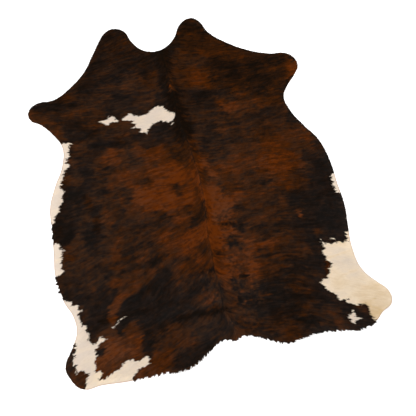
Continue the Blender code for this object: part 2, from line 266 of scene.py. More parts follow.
# Lighter and darker hair: 0 is near black, and 100 and more orange brown
BASE_TONE = 0.27
BRINDLE = 0.92  # how far light and dark stand apart
TONES = (
    # broad fields
    (-405, 45, -45, 65, 130, 62), (-325, -75, 15, -75, 150, 70), (-245, -395, 75, -375, 160, 60),
    (30, 50, 760, 70, 100, 58), (100, -60, 640, -70, 100, 56), (120, -210, 420, -230, 110, 48),
    (15, -570, 415, -570, 120, 55), (420, 210, 680, 190, 100, 42), (240, 360, 620, 360, 80, 42),
    (-765, -365, -345, -435, 120, 38), (130, 680, 270, 620, 120, 48), (-555, -570, -95, -510, 60, 45),
    # left neck and shoulder, dark
    (-285, 1070, -205, 1090, 45, 10), (-330, 1030, -330, 1000, 30, 11), (-435, 850, -375, 890, 45, 10),
    (-235, 855, -210, 815, 50, 12), (-495, 735, -305, 765, 45, 8), (-115, 760, -105, 750, 35, 12),
    (-145, 865, 5, 850, 45, 10), (-775, 665, -595, 645, 45, 8), (-315, 645, -265, 620, 50, 8),
    (-395, 560, -345, 560, 25, 14), (-615, 500, -655, 440, 50, 10), (-635, 405, -525, 420, 45, 10),
    (-525, 330, -335, 310, 40, 8), (-455, 360, -395, 345, 35, 12), (-255, 330, -250, 330, 30, 12),
    (-135, 330, -5, 345, 45, 9), (-200, 265, -175, 260, 35, 14), (-585, 175, -585, 145, 45, 10),
    (-540, 245, -525, 245, 25, 14), (-685, 45, -745, -35, 85, 6), (-520, 15, -510, 15, 35, 12),
    (-90, 570, -60, 520, 35, 11),
    # left neck and shoulder, light
    (-200, 1025, -185, 1025, 35, 38), (-395, 810, -340, 820, 30, 38), (-625, 695, -575, 710, 45, 43),
    (-375, 710, -335, 710, 25, 37), (-235, 680, -175, 715, 55, 58), (-55, 725, -80, 640, 50, 42),
    (-95, 630, -175, 540, 55, 40), (-435, 655, -380, 640, 50, 42), (-645, 580, -455, 575, 45, 43),
    (-595, 585, -525, 575, 28, 60), (-455, 610, -445, 545, 50, 39), (-805, 590, -735, 590, 45, 44),
    (-785, 540, -730, 480, 60, 66), (-855, 620, -845, 600, 40, 54), (-340, 420, -265, 445, 50, 58),
    (-415, 405, -325, 390, 45, 42), (-605, 350, -575, 330, 50, 44), (-675, 145, -645, 125, 45, 43),
    (-485, 185, -385, 265, 80, 56), (-460, 200, -385, 250, 55, 76), (-255, 245, -185, 180, 60, 72),
    (-155, 210, -95, 135, 60, 74), (-485, 90, -235, 90, 40, 70), (-175, 45, -15, 45, 75, 94),
    (-275, 20, -255, 15, 55, 43), (-55, 155, -5, 135, 50, 28), (-185, 130, -180, 130, 25, 45),
    # neck, right of the spine
    (215, 1030, 250, 1010, 45, 10), (200, 945, 240, 940, 25, 39), (70, 890, 135, 915, 35, 11),
    (130, 840, 185, 790, 50, 41), (275, 790, 295, 790, 35, 58), (340, 880, 390, 850, 50, 43),
    (340, 790, 530, 710, 50, 44), (160, 680, 220, 600, 85, 58), (195, 620, 215, 650, 45, 78),
    (345, 725, 460, 660, 60, 7), (390, 610, 450, 620, 50, 8), (555, 640, 690, 655, 48, 7),
    (505, 555, 620, 545, 40, 9), (660, 580, 750, 605, 45, 43), (810, 605, 780, 515, 60, 76),
    (335, 550, 355, 550, 25, 39), (155, 520, 260, 500, 50, 7), (410, 500, 450, 455, 40, 62),
    (515, 480, 585, 485, 22, 13), (235, 430, 245, 430, 40, 11), (300, 445, 310, 420, 35, 58),
    (315, 395, 395, 375, 55, 86), (410, 380, 540, 385, 45, 60), (380, 335, 420, 360, 35, 58),
    (610, 420, 610, 340, 60, 42), (420, 300, 610, 315, 35, 24), (190, 285, 200, 285, 30, 11),
    (315, 280, 345, 280, 20, 13), (245, 240, 285, 240, 42, 60), (300, 240, 420, 245, 30, 42),
    (90, 235, 50, 170, 50, 42), (75, 140, 95, 80, 40, 62), (125, 195, 145, 195, 22, 13),
    (140, 120, 220, 110, 55, 26), (490, 215, 530, 200, 30, 29), (650, 235, 680, 190, 45, 28),
    (460, 110, 720, 115, 50, 62), (710, 95, 730, 85, 35, 74), (480, 115, 530, 110, 18, 74),
    (350, 55, 390, 60, 30, 43), (20, 50, 100, 60, 60, 78), (350, 10, 520, -5, 45, 76),
    (570, 15, 590, 10, 40, 76), (680, 45, 710, -10, 55, 43), (790, 20, 810, -10, 40, 22),
    # the back, right half
    (85, 0, 130, -70, 30, 40), (120, 15, 150, -40, 22, 92), (220, -10, 270, -30, 35, 74),
    (215, -55, 230, -55, 25, 40), (440, -20, 560, -80, 70, 77), (310, -80, 360, -65, 28, 27),
    (300, -105, 390, -95, 22, 57), (350, -155, 430, -130, 38, 25), (450, -150, 550, -190, 60, 58),
    (620, -180, 630, -190, 45, 42), (700, -50, 730, -50, 35, 13), (780, -130, 740, -310, 100, 6),
    (675, -360, 755, -470, 110, 6), (560, -280, 680, -310, 60, 7), (555, -430, 655, -450, 55, 8),
    (735, -550, 775, -570, 55, 7), (100, -140, 100, -230, 80, 108), (100, -215, 175, -220, 45, 106),
    (210, -200, 240, -190, 45, 92), (70, -250, 65, -300, 45, 105), (30, -185, 22, -260, 13, 16),
    (220, -265, 245, -260, 35, 26), (320, -210, 380, -180, 45, 58), (420, -265, 445, -265, 38, 29),
    (195, -300, 210, -300, 26, 64), (120, -340, 180, -345, 30, 40), (205, -370, 220, -370, 30, 25),
    (270, -360, 360, -345, 32, 58), (390, -320, 410, -320, 35, 57), (558, -365, 566, -400, 17, 98),
    (50, -320, 55, -470, 60, 100), (55, -355, 50, -400, 35, 114), (120, -385, 150, -400, 30, 90),
    (130, -460, 160, -495, 50, 38), (215, -465, 220, -465, 38, 90), (235, -450, 305, -450, 25, 64),
    (330, -475, 340, -475, 30, 26),
    # loin and thigh, right half
    (575, -510, 625, -600, 55, 9), (625, -520, 635, -520, 22, 40), (480, -628, 535, -612, 28, 44),
    (25, -550, 45, -550, 35, 74), (105, -540, 195, -575, 50, 76), (205, -530, 375, -520, 30, 82),
    (415, -570, 465, -560, 55, 26), (280, -585, 290, -585, 22, 26), (325, -635, 345, -635, 30, 28),
    (115, -630, 145, -615, 35, 80), (35, -650, 55, -650, 35, 90), (35, -710, 40, -710, 25, 74),
    (215, -635, 200, -685, 50, 82), (150, -745, 175, -740, 30, 58), (315, -670, 375, -670, 25, 56),
    (245, -780, 385, -765, 55, 7), (425, -670, 585, -690, 60, 7), (435, -770, 450, -770, 30, 42),
    (105, -825, 175, -835, 45, 9), (215, -875, 545, -860, 65, 7), (40, -800, 55, -860, 40, 41),
    (85, -940, 145, -930, 40, 41), (245, -955, 275, -955, 25, 14), (375, -930, 465, -1060, 60, 7),
    (465, -940, 555, -980, 45, 42), (565, -995, 575, -995, 18, 54), (595, -1060, 595, -1090, 40, 62),
    (615, -960, 665, -1010, 40, 8), (285, -1030, 345, -1040, 50, 43), (45, -970, 35, -1010, 35, 60),
    (715, -1070, 735, -1090, 45, 8),
    # the back and loin, left half
    (-825, -135, -765, -175, 85, 5), (-785, -245, -790, -255, 35, 8), (-585, -85, -565, -85, 45, 11),
    (-650, -125, -630, -125, 30, 38), (-545, -35, -515, -35, 40, 39), (-525, -115, -535, -175, 45, 60),
    (-385, -55, -385, -70, 30, 24), (-445, -125, -435, -125, 32, 26), (-590, -205, -655, -275, 50, 7),
    (-705, -240, -750, -295, 34, 46), (-485, -235, -425, -225, 30, 37), (-385, -250, -365, -245, 28, 12),
    (-285, -85, -135, -135, 95, 94), (-135, -110, -125, -125, 40, 108), (-185, -15, 25, -5, 50, 92),
    (-95, -40, -80, -90, 30, 38), (-15, -105, -50, -175, 35, 92), (-205, -225, -195, -220, 32, 24),
    (-115, -255, -85, -275, 45, 76), (-45, -300, 15, -255, 36, 22), (-245, -345, -225, -345, 28, 74),
    (-75, -365, 25, -350, 50, 96), (-125, -430, -95, -410, 45, 90), (-185, -385, -205, -425, 38, 74),
    (-25, -450, -45, -490, 35, 38), (-75, -490, -75, -510, 30, 72), (-495, -300, -525, -385, 38, 60),
    (-465, -375, -335, -355, 35, 26), (-380, -405, -355, -395, 24, 58), (-395, -445, -355, -435, 26, 58),
    (-540, -465, -515, -460, 26, 54), (-325, -465, -305, -460, 35, 11), (-595, -450, -595, -490, 25, 11),
    (-695, -530, -695, -555, 45, 43), (-815, -535, -725, -600, 50, 7), (-595, -550, -515, -550, 36, 74),
    (-455, -530, -425, -580, 52, 60), (-215, -560, -165, -540, 42, 62), (-110, -560, -100, -555, 22, 52),
    # thigh and rump, left half
    (-305, -570, -475, -700, 85, 6), (-495, -730, -275, -770, 95, 5), (-645, -650, -705, -710, 60, 8),
    (-725, -790, -665, -745, 52, 8), (-225, -635, -165, -615, 24, 40), (-75, -660, -145, -700, 38, 9),
    (-105, -745, -45, -735, 45, 46), (-85, -770, -25, -730, 18, 60), (-375, -860, -425, -930, 55, 7),
    (-120, -875, -110, -870, 30, 52), (-295, -880, -255, -950, 55, 49), (-285, -920, -235, -960, 35, 60),
    (-355, -950, -325, -940, 40, 42), (-675, -910, -495, -910, 110, 72), (-665, -935, -575, -930, 55, 94),
    (-655, -890, -585, -900, 45, 90), (-555, -840, -515, -870, 45, 78), (-745, -960, -735, -1010, 35, 96),
    (-695, -1000, -685, -1020, 55, 79), (-455, -1020, -515, -1080, 50, 78),
    (-405, -1040, -365, -1010, 55, 59), (-265, -1050, -135, -1020, 50, 7), (-305, -1075, -285, -1075, 40, 9),
    (-855, -1010, -855, -1060, 60, 56), (-875, -940, -880, -970, 35, 35),
    # left flank
    (-510, 150, -420, 165, 24, 24), (-500, 95, -440, 85, 24, 32), (-500, -12, -360, -10, 24, 28),
    (-440, 30, -400, 20, 16, 34), (-365, -100, -330, -125, 26, 54), (-450, -90, -425, -85, 16, 24),
    (-560, -225, -540, -205, 18, 24), (-790, -275, -745, -245, 20, 44), (-760, -310, -735, -350, 20, 28),
    (-740, -400, -640, -385, 22, 28), (-660, -320, -620, -295, 24, 24), (-700, -20, -700, -110, 22, 22),
    (-650, -195, -560, -190, 16, 24), (-400, 182, -340, 178, 18, 64), (-375, 240, -350, 232, 20, 42),
    (-520, 200, -480, 190, 20, 38), (-655, 270, -635, 235, 20, 40), (-400, -382, -360, -367, 18, 44),
    (-395, -414, -370, -408, 16, 22), (-500, -330, -480, -325, 16, 26), (-470, -292, -440, -288, 14, 42),
    (-400, -270, -375, -260, 18, 32),
    # the back
    (-300, -170, -215, -178, 16, 38), (-260, -245, -180, -250, 20, 42), (-120, -205, -100, -235, 16, 42),
    (-80, -198, -40, -186, 14, 34), (55, -165, 50, -290, 20, 106), (115, -150, 120, -185, 18, 100),
    (135, -50, 165, -130, 18, 42), (145, 65, 145, 25, 18, 32), (45, 140, 70, 85, 16, 40),
    (15, 110, -5, 75, 18, 40), (38, 40, 35, 10, 16, 68), (-10, -5, -35, -35, 20, 64),
    (35, -55, 38, -90, 14, 90), (-50, -60, -55, -95, 18, 78), (-130, -60, -115, -70, 18, 88),
    (-110, 140, -75, 130, 24, 70), (-90, 225, -35, 205, 28, 50), (-200, 45, -150, 45, 16, 90),
    (75, 155, 115, 130, 18, 38), (105, 195, 115, 170, 16, 12), (185, 215, 225, 225, 20, 10),
    (-230, 262, -140, 252, 18, 18), (130, 85, 140, 65, 14, 22), (175, -15, 180, -45, 18, 68),
    (205, -60, 240, -70, 14, 54), (60, -320, 65, -380, 22, 106), (100, -315, 180, -335, 18, 72),
    (175, -378, 198, -386, 19, 10), (235, -390, 240, -420, 18, 62), (145, -230, 150, -235, 12, 80),
    (125, -275, 150, -270, 12, 68), (-115, -305, -75, -290, 12, 46),
    # right flank
    (400, -135, 438, -142, 20, 12), (395, -200, 412, -208, 18, 28), (475, -198, 520, -204, 18, 34),
    (595, -112, 640, -118, 22, 28), (680, -110, 700, -108, 18, 16), (575, -12, 615, -8, 18, 54),
    (610, -40, 612, -90, 18, 44), (785, -20, 805, -22, 18, 8), (415, -55, 440, -85, 16, 50),
    (330, -15, 350, -25, 20, 46), (690, -15, 735, -12, 18, 18), (350, 125, 400, 130, 16, 34),
    (395, 230, 430, 250, 16, 22), (430, 160, 450, 155, 16, 34), (455, 60, 490, 70, 14, 50),
    (590, 120, 605, 110, 16, 54), (475, 190, 510, 183, 16, 54), (465, 130, 495, 128, 12, 70),
    (535, 165, 540, 125, 14, 62), (330, 160, 370, 153, 14, 46), (615, 30, 670, 18, 16, 60),
    (595, 75, 600, 60, 14, 68), (590, -375, 625, -395, 20, 26), (370, -390, 425, -380, 20, 52),
    (410, -285, 430, -295, 16, 46), (705, -290, 740, -290, 18, 16), (475, -305, 500, -315, 14, 52),
    (700, 255, 800, 60, 9, 8), (820, -30, 834, -165, 9, 2), (828, -330, 826, -440, 8, 2),
    # right thigh
    (415, -540, 500, -572, 18, 46), (350, -612, 410, -615, 16, 64), (480, -605, 500, -640, 22, 44),
    (575, -600, 585, -640, 26, 8), (375, -660, 420, -668, 16, 54), (460, -680, 510, -705, 14, 26),
    (340, -715, 430, -748, 20, 26), (350, -785, 400, -790, 20, 32), (400, -815, 480, -845, 20, 38),
    (490, -812, 550, -818, 18, 24), (360, -880, 400, -885, 20, 20), (490, -930, 560, -932, 16, 6),
    (490, -1035, 520, -1030, 16, 42), (430, -1035, 450, -1055, 16, 22), (400, -965, 510, -965, 16, 34),
    (585, -985, 605, -988, 14, 42), (360, -1018, 390, -1025, 14, 20), (345, -1065, 375, -1068, 14, 26),
    (520, -1072, 560, -1078, 14, 8), (720, -1005, 740, -1015, 18, 42), (628, -700, 614, -775, 12, 62),
    # left shoulder
    (-660, 685, -610, 668, 18, 24), (-740, 592, -690, 588, 18, 26), (-600, 562, -570, 555, 16, 26),
    (-530, 550, -440, 570, 22, 22), (-770, 530, -700, 525, 20, 42), (-660, 518, -610, 520, 14, 28),
    (-600, 455, -570, 440, 18, 32), (-700, 440, -680, 415, 18, 34), (-430, 325, -350, 295, 32, 8),
    (-600, 378, -540, 372, 14, 16), (-430, 385, -330, 375, 14, 28), (-325, 378, -300, 370, 14, 58),
    (-400, 745, -340, 725, 20, 26), (-530, 705, -500, 698, 16, 30), (-370, 625, -345, 615, 16, 14),
    (-290, 680, -255, 660, 22, 34), (-720, 695, -690, 694, 12, 32), (-848, 650, -850, 610, 10, 52),
    # neck
    (-190, 680, -130, 700, 20, 34), (-225, 650, -205, 630, 16, 24), (-155, 645, -125, 638, 16, 48),
    (-70, 795, -62, 760, 16, 14), (115, 785, 155, 770, 20, 28), (220, 790, 270, 775, 14, 32),
    (255, 830, 290, 815, 18, 62), (120, 885, 135, 865, 14, 46),
    (-200, 800, -160, 790, 18, 34), (275, 605, 330, 590, 24, 14), (240, 660, 275, 640, 18, 44),
    (165, 585, 205, 575, 18, 48), (105, 625, 130, 615, 16, 28), (75, 575, 120, 545, 22, 30),
    (260, 490, 285, 470, 20, 42), (185, 1040, 260, 1030, 26, 22), (160, 950, 270, 975, 16, 38),
    (165, 1020, 150, 995, 10, 54), (-225, 1020, -185, 1030, 24, 46), (-230, 1080, -190, 1060, 20, 26),
    (-165, 1040, -100, 935, 9, 4), (10, 900, 140, 985, 9, 4), (290, 750, 340, 735, 18, 24),
    (320, 860, 335, 825, 18, 32),
    # right shoulder
    (370, 750, 435, 740, 18, 32), (515, 695, 580, 690, 18, 22), (570, 632, 690, 640, 14, 26),
    (700, 645, 750, 638, 20, 42), (795, 650, 812, 625, 14, 14), (650, 572, 745, 560, 18, 24),
    (765, 515, 685, 410, 10, 6), (680, 400, 676, 350, 10, 4), (676, 350, 700, 265, 9, 6),
    (370, 585, 415, 575, 18, 34), (455, 535, 500, 530, 20, 26), (465, 640, 490, 648, 14, 24),
    (640, 480, 655, 460, 16, 14), (450, 475, 475, 460, 16, 38), (470, 395, 490, 345, 20, 34),
    (540, 368, 580, 362, 16, 32), (620, 380, 628, 350, 16, 52), (285, 375, 310, 350, 18, 20),
    (380, 290, 410, 286, 16, 18), (510, 280, 570, 275, 16, 36), (580, 465, 590, 420, 16, 40),
    # left hind leg
    (-470, -610, -550, -630, 30, 74), (-550, -630, -600, -680, 30, 76), (-605, -680, -615, -755, 26, 72),
    (-565, -710, -555, -780, 24, 8), (-590, -775, -585, -825, 25, 14), (-690, -825, -640, -800, 26, 60),
    (-540, -830, -515, -800, 26, 62), (-440, -820, -435, -900, 38, 8), (-450, -900, -465, -985, 30, 10),
    (-385, -900, -350, -930, 30, 44), (-560, -860, -540, -930, 30, 60), (-650, -990, -630, -1000, 24, 86),
    (-620, -935, -540, -960, 24, 98), (-745, -900, -705, -905, 26, 10), (-510, -505, -450, -475, 32, 24),
    (-620, -545, -575, -590, 24, 22), (-480, -600, -410, -578, 28, 72), (-410, -575, -340, -530, 26, 60),
    (-740, -540, -720, -545, 24, 32), (-840, -480, -815, -490, 20, 30), (-760, -425, -725, -430, 22, 20),
    (-540, -1085, -400, -1085, 26, 66), (-885, -955, -870, -985, 20, 50),
    # beside the tail
    (-30, -885, -15, -945, 45, 17), (-150, -830, -60, -885, 40, 22), (-110, -870, -85, -900, 28, 38),
    # the next three strokes, from (-278, -833) to (-40, -838), paint a near black line along the crease
    # beside the tail: painted shade in the crease
    (-278, -833, -198, -830, 18, 2), (-198, -830, -140, -821, 20, 0), (-140, -821, -40, -838, 15, 2),
    (15, -500, 60, -505, 16, 52), (-40, -510, -15, -515, 16, 60), (-110, -600, -15, -598, 14, 20),
    (-230, -590, -150, -570, 16, 46), (130, -668, 165, -668, 14, 3), (140, -615, 170, -630, 20, 88),
    (-80, -685, -45, -675, 16, 45), (30, -740, 75, -760, 20, 54), (-190, -720, -150, -720, 18, 14),
    (-150, -775, -110, -770, 14, 32), (-5, -850, 5, -895, 13, 58), (-150, -915, -75, -900, 18, 20),
    (-250, -920, -190, -910, 22, 54), (-185, -960, -120, -930, 16, 46), (85, -950, 95, -985, 18, 50),
    (190, -985, 230, -990, 20, 42), (185, -795, 250, -805, 14, 24), (70, -430, 100, -470, 20, 92),
    (110, -540, 190, -525, 20, 88), (-60, -440, -85, -495, 16, 62), (-160, -460, -120, -465, 16, 64),
    (-220, -520, -185, -505, 18, 44),
    # short marks along the parting and beside it
    (15, -503, 70, -514, 9, 26), (3, -470, 0, -490, 8, 14), (249, -587, 368, -583, 10, 14),
    (270, -548, 325, -540, 9, 28), (217, -598, 238, -624, 8, 125), (85, -665, 85, -680, 10, 8),
    (-3, -570, -22, -604, 8, 6), (24, -608, 56, -628, 10, 100), (30, -678, 42, -704, 10, 72),
    (2, -686, 6, -738, 8, 10), (-6, -815, 2, -840, 13, 14), (-2, -855, 18, -912, 7, 66),
    (-14, -896, 0, -965, 8, 10), (105, -824, 212, -820, 7, 56), (208, -804, 268, -812, 8, 54),
    # neck and shoulders, finer marks
    (-395, 724, -305, 716, 14, 52), (-390, 692, -330, 688, 14, 24), (-345, 985, -270, 975, 24, 30),
    (-300, 950, -200, 955, 14, 20), (-430, 815, -380, 840, 22, 34), (-300, 815, -280, 790, 14, 32),
    (-195, 868, -115, 850, 12, 26), (-330, 845, -300, 860, 18, 22),
    (-240, 748, -170, 742, 12, 24), (-170, 697, -80, 692, 20, 27), (-305, 668, -270, 678, 12, 20),
    (-165, 592, -130, 592, 14, 26), (-130, 568, -95, 578, 14, 58), (-340, 562, -290, 562, 16, 18),
    (-440, 595, -390, 598, 12, 42), (-250, 602, -215, 590, 14, 30), (-240, 512, -170, 502, 10, 12),
    (-400, 655, -365, 640, 14, 54), (-445, 415, -415, 408, 12, 28),
    (48, 809, 67, 803, 8, 80), (60, 785, 100, 755, 22, 50), (222, 838, 232, 828, 9, 60),
    (200, 815, 215, 812, 10, 42), (198, 742, 205, 738, 9, 66), (268, 795, 275, 775, 10, 56),
    (410, 752, 445, 743, 14, 46), (105, 742, 150, 738, 12, 20),
    (75, 680, 120, 672, 12, 24), (305, 660, 345, 625, 22, 24), (275, 635, 258, 600, 14, 50),
    (160, 578, 190, 570, 14, 30), (265, 582, 310, 572, 14, 26), (450, 515, 490, 535, 20, 38),
    (325, 528, 370, 520, 16, 18), (400, 490, 445, 484, 14, 36), (515, 510, 545, 507, 12, 12),
    (430, 448, 470, 440, 12, 28), (622, 465, 640, 455, 12, 22), (376, 418, 384, 400, 12, 90),
    (300, 398, 345, 392, 14, 104),
    (315, 445, 340, 430, 10, 36), (275, 432, 290, 400, 10, 26), (190, 382, 250, 380, 16, 14),
    (110, 398, 150, 390, 12, 14), (205, 480, 270, 475, 9, 22), (270, 520, 300, 520, 14, 26),
    (545, 692, 605, 688, 14, 10), (505, 712, 530, 708, 10, 36),
    (160, 918, 190, 914, 12, 22), (210, 935, 245, 932, 10, 24), (165, 1010, 215, 1015, 18, 26),
    (70, 838, 105, 832, 14, 22), (-385, 762, -345, 755, 14, 27), (-110, 785, -60, 775, 14, 10),
    (-397, 952, -385, 935, 10, 32), (130, 457, 215, 452, 14, 13),
    # dark lines along the rim of the neck and the right shoulder
    (-240, 1114, -172, 1084, 8, 4), (302, 1048, 345, 945, 8, 4), (345, 945, 430, 855, 8, 4),
    (430, 855, 560, 760, 8, 4), (560, 760, 690, 706, 8, 4),
    # the dark line down the spine, last
    (30, 860, 10, 680, 55, 7), (-10, 680, -25, 610, 50, 8), (30, 580, 40, 300, 64, 3),
    (68, 500, 105, 480, 22, 27), (62, 400, 72, 380, 22, 24), (85, 565, 115, 545, 16, 30),
    (28, 611, 28, 604, 20, 58), (20, 634, 25, 616, 9, 108), (32, 715, 30, 645, 12, 40),
    (-55, 700, -50, 620, 20, 42),
)

# Saturated red brown hair at 100, and hair with a cool greyish sheen at 0. The cool end is partly the hair's
# own duller brown and partly painted sheen: grey gloss painted into the colour, mostly on the left where the
# key light falls
BASE_WARMTH = 0.40
WARMTHS = (
    (300, 700, 700, 600, 250, 95), (200, 960, 420, 820, 110, 95), (250, 1060, 260, 1080, 60, 65),
    (600, 420, 600, 500, 110, 90), (100, 800, 240, 760, 60, 45), (150, 660, 350, 640, 60, 80),
    (30, 880, 30, 640, 40, 90), (-80, 850, -100, 700, 60, 65), (-260, 1040, -160, 950, 110, 58),
    (-400, 900, -300, 900, 80, 40), (-300, 700, -250, 560, 150, 5), (-450, 620, -380, 740, 70, 15),
    (-160, 590, -80, 560, 60, 15), (-760, 690, -780, 690, 40, 8), (-640, 700, -620, 705, 40, 85),
    (-560, 480, -500, 440, 60, 55), (-660, 430, -560, 420, 40, 12), (-480, 350, -420, 360, 60, 15),
    (-560, 340, -450, 340, 50, 8), (-240, 420, -150, 350, 70, 8), (30, 560, 30, 420, 50, 92),
    (160, 560, 170, 540, 50, 22), (240, 500, 330, 480, 70, 38), (300, 440, 300, 430, 40, 65),
    (130, 395, 230, 395, 35, 20), (160, 250, 220, 120, 120, 12), (330, 330, 380, 200, 80, 30),
    (30, 340, 30, -540, 62, 100), (-80, 170, -80, -180, 80, 92), (-200, 20, -200, -150, 110, 70),
    (-180, 210, -160, 205, 45, 85), (-620, 180, -640, -300, 130, 0), (-480, 260, -420, 220, 70, 32),
    (-310, 230, -290, 160, 60, 8), (-430, 30, -420, -100, 80, 25), (-460, -190, -340, -200, 40, 12),
    (-610, 10, -610, -60, 26, 60), (-590, -140, -590, -200, 26, 85), (-810, -165, -800, -170, 30, 60),
    (-780, -330, -760, -320, 30, 65), (-720, 125, -715, 130, 30, 60), (-230, -330, -250, -430, 60, 68),
    (-100, -300, -80, -520, 80, 88), (-150, -550, -20, -590, 40, 88), (-700, -450, -700, -640, 130, 2),
    (-450, -570, -450, -600, 50, 50), (-310, -570, -310, -590, 35, 5), (-650, -745, -600, -720, 35, 80),
    (-480, -740, -450, -740, 35, 70), (-620, -790, -200, -780, 40, 3), (-600, -690, -380, -690, 40, 8),
    # (-260, -825) to (0, -828) gives the painted shade line along the crease beside the tail its red brown
    (-250, -680, -150, -700, 60, 25), (-30, -680, 0, -800, 45, 3), (-260, -825, 0, -828, 20, 90),
    # (-150, -920) to (-20, -930) is the grey sheen below the crease beside the tail: painted sheen
    (-150, -920, -20, -930, 90, 0), (-530, -840, -480, -880, 60, 55), (-340, -850, -340, -960, 35, 65),
    (-420, -1040, -350, -1030, 45, 90), (-300, -1040, -250, -980, 60, 45), (-620, -950, -680, -860, 100, 8),
    (-900, -950, -880, -930, 60, 2), (120, -60, 150, -50, 45, 15), (170, 0, 220, -30, 40, 50),
    (210, -125, 250, -125, 40, 65), (250, -60, 280, -60, 35, 30), (500, 160, 560, -170, 90, 78),
    (560, 100, 600, -60, 60, 92), (580, -190, 660, -195, 45, 85), (440, -60, 430, -60, 35, 88),
    (700, 150, 760, 60, 60, 55), (800, 10, 800, -10, 28, 80), (740, -60, 700, -250, 60, 30),
    (560, -290, 570, -285, 40, 15), (740, -400, 740, -540, 110, 3), (780, -150, 830, -140, 40, 40),
    (90, -290, 200, -250, 45, 12), (300, -250, 420, -420, 120, 45), (120, -350, 140, -350, 30, 90),
    (200, -440, 180, -520, 70, 10), (260, -340, 320, -340, 40, 22), (280, -530, 400, -520, 45, 68),
    (300, -640, 380, -620, 60, 72), (60, -570, 60, -600, 40, 50), (30, -600, 40, -615, 25, 90),
    (150, -665, 155, -665, 25, 88), (230, -690, 330, -690, 40, 68), (100, -740, 200, -760, 70, 5),
    (90, -870, 170, -900, 60, 4), (420, -760, 440, -860, 60, 72), (600, -700, 620, -900, 80, 3),
    (300, -860, 320, -800, 50, 25), (270, -960, 400, -950, 70, 68), (320, -1060, 330, -1060, 50, 88),
    (440, -1080, 640, -1080, 50, 3), (560, -980, 700, -1060, 70, 15), (628, -700, 614, -775, 20, 90),
    (70, -920, 80, -920, 25, 45), (560, -560, 600, -560, 80, 25), (500, -450, 480, -560, 70, 45),
)

# Where the hair is tousled into small tufts, 100, or lies smooth, 0
TUFTS = (
    (110, -220, 130, -800, 95, 90), (60, 180, 80, 0, 55, 50), (30, 560, 30, 300, 45, 45),
    (-50, -620, -40, -800, 55, 70), (-110, -230, -80, -420, 60, 30), (60, -860, 130, -960, 60, 50),
)

# The cream of the patches: 0 is a pinkish white, 50 yellowish and 100 tan. The low end is also darker and
# greyer: partly the cream's own colour and partly painted shade of the patches that get less light
BASE_TINT = 0.08
TINTS = (
    (740, -760, 800, -700, 280, 50), (690, -690, 760, -800, 70, 30), (800, -950, 900, -980, 120, 66),
    # (800, -760) to (870, -860) makes the cream at the rim of the right stifle pinker and less yellow: a
    # painted highlight on the rim
    (770, -1030, 800, -1050, 60, 95), (800, -760, 870, -860, 30, 12), (-640, -1060, -520, -1020, 60, 24),
    (-790, -1060, -700, -1060, 60, 40),
    # darker tan lines along the creases in the cream of the right hind leg: painted shade in the creases
    (628, -681, 784, -672, 8, 62), (655, -801, 770, -790, 8, 55), (765, -984, 820, -974, 9, 85),
)


# -------- layers of noise
# Each layer names its noise, its strength, the size of its cells in the two directions in which it is read,
# and two shifts, in cells, that keep it apart from other layers of the same noise. WAVES, CLUMPS, WARM_SPOTS,
# NICKS, TINT_CLOUDS, TURNS and FRINGE_CLUMPS are read across and along the hide, PARTING_WAVER along the
# parting, and the others along and across the lines of hair.
NOISES = ("warp one", "warp two", "edge", "tint", "clump", "wave", "streak one", "streak two")
Layer = namedtuple("Layer", "noise strength long wide shift slip", defaults=(0.0, 0.0))
WAVES = (  # how far the lines of hair waver
    Layer("wave", 0.0100, 0.120, 0.095),
    Layer("wave", 0.0036, 0.045, 0.034, 7.7, 3.1),
)
WARP_ALONG = (  # how far the brindle's borders run out along the hair
    Layer("warp one", 0.013, 0.070, 0.0080),
    Layer("warp two", 0.010, 0.040, 0.0036),
)
WARP_ACROSS = (  # and across it
    Layer("warp one", 0.006, 0.060, 0.030, 5.3),
    Layer("warp two", 0.004, 0.030, 0.014, 9.1),
)
STRANDS = (  # lighter and darker strands
    Layer("streak one", 0.50, 0.050, 0.0100),
    Layer("streak two", 0.34, 0.030, 0.0050),
    Layer("streak one", 0.20, 0.016, 0.0024, 3.3, 8.8),
)
CLUMPS = (  # lighter and darker clumps
    Layer("streak two", 0.48, 0.011, 0.010),
    Layer("streak one", 0.38, 0.020, 0.017, 2.2),
)
CLOUDS = (Layer("streak one", 0.10, 0.075, 0.022, 1.9, 4.1),)  # broad lighter and darker bands
# painted glints: thin pale lines along the hair, lighter where the hair is lighter
GLINT_LINES = (Layer("streak two", 1.0, 0.060, 0.0060, 6.1, 2.2),)  # thin pale lines where it crosses 0
PARTING_WAVER = (Layer("edge", 0.004, 0.06, 1.0),)  # how much wider or narrower the dark parting is
WARM_STRANDS = (Layer("streak two", 0.25, 0.045, 0.0070, 1.7, 5.5),)  # warmer and cooler strands
WARM_SPOTS = (Layer("streak one", 0.25, 0.018, 0.015, 4.4),)  # and spots
TEETH = (  # the teeth of a patch's border, along the hair
    Layer("edge", 0.010, 0.060, 0.0075),
    Layer("edge", 0.006, 0.030, 0.0030, 3.7),
)
NICKS = (Layer("edge", 0.0075, 0.008, 0.012, 5.1),)  # and its small nicks
TINT_CLOUDS = (Layer("tint", 0.16, 0.05, 0.03),)  # paler and yellower cream
TINT_STRANDS = (Layer("tint", 0.10, 0.030, 0.006),)  # and its strands
TURNS = (Layer("clump", 0.30, 0.022, 0.016),)  # how far a clump of hair turns aside, in radians
FRINGE_CLUMPS = (  # the gaps between the clumps at a fringe are where it is far from 0
    Layer("edge", 1.0, FRINGE_CLUMP, FRINGE_CLUMP, 11.3),
    Layer("edge", 0.3, 0.0045, 0.0045, 0.0, 6.1),
)

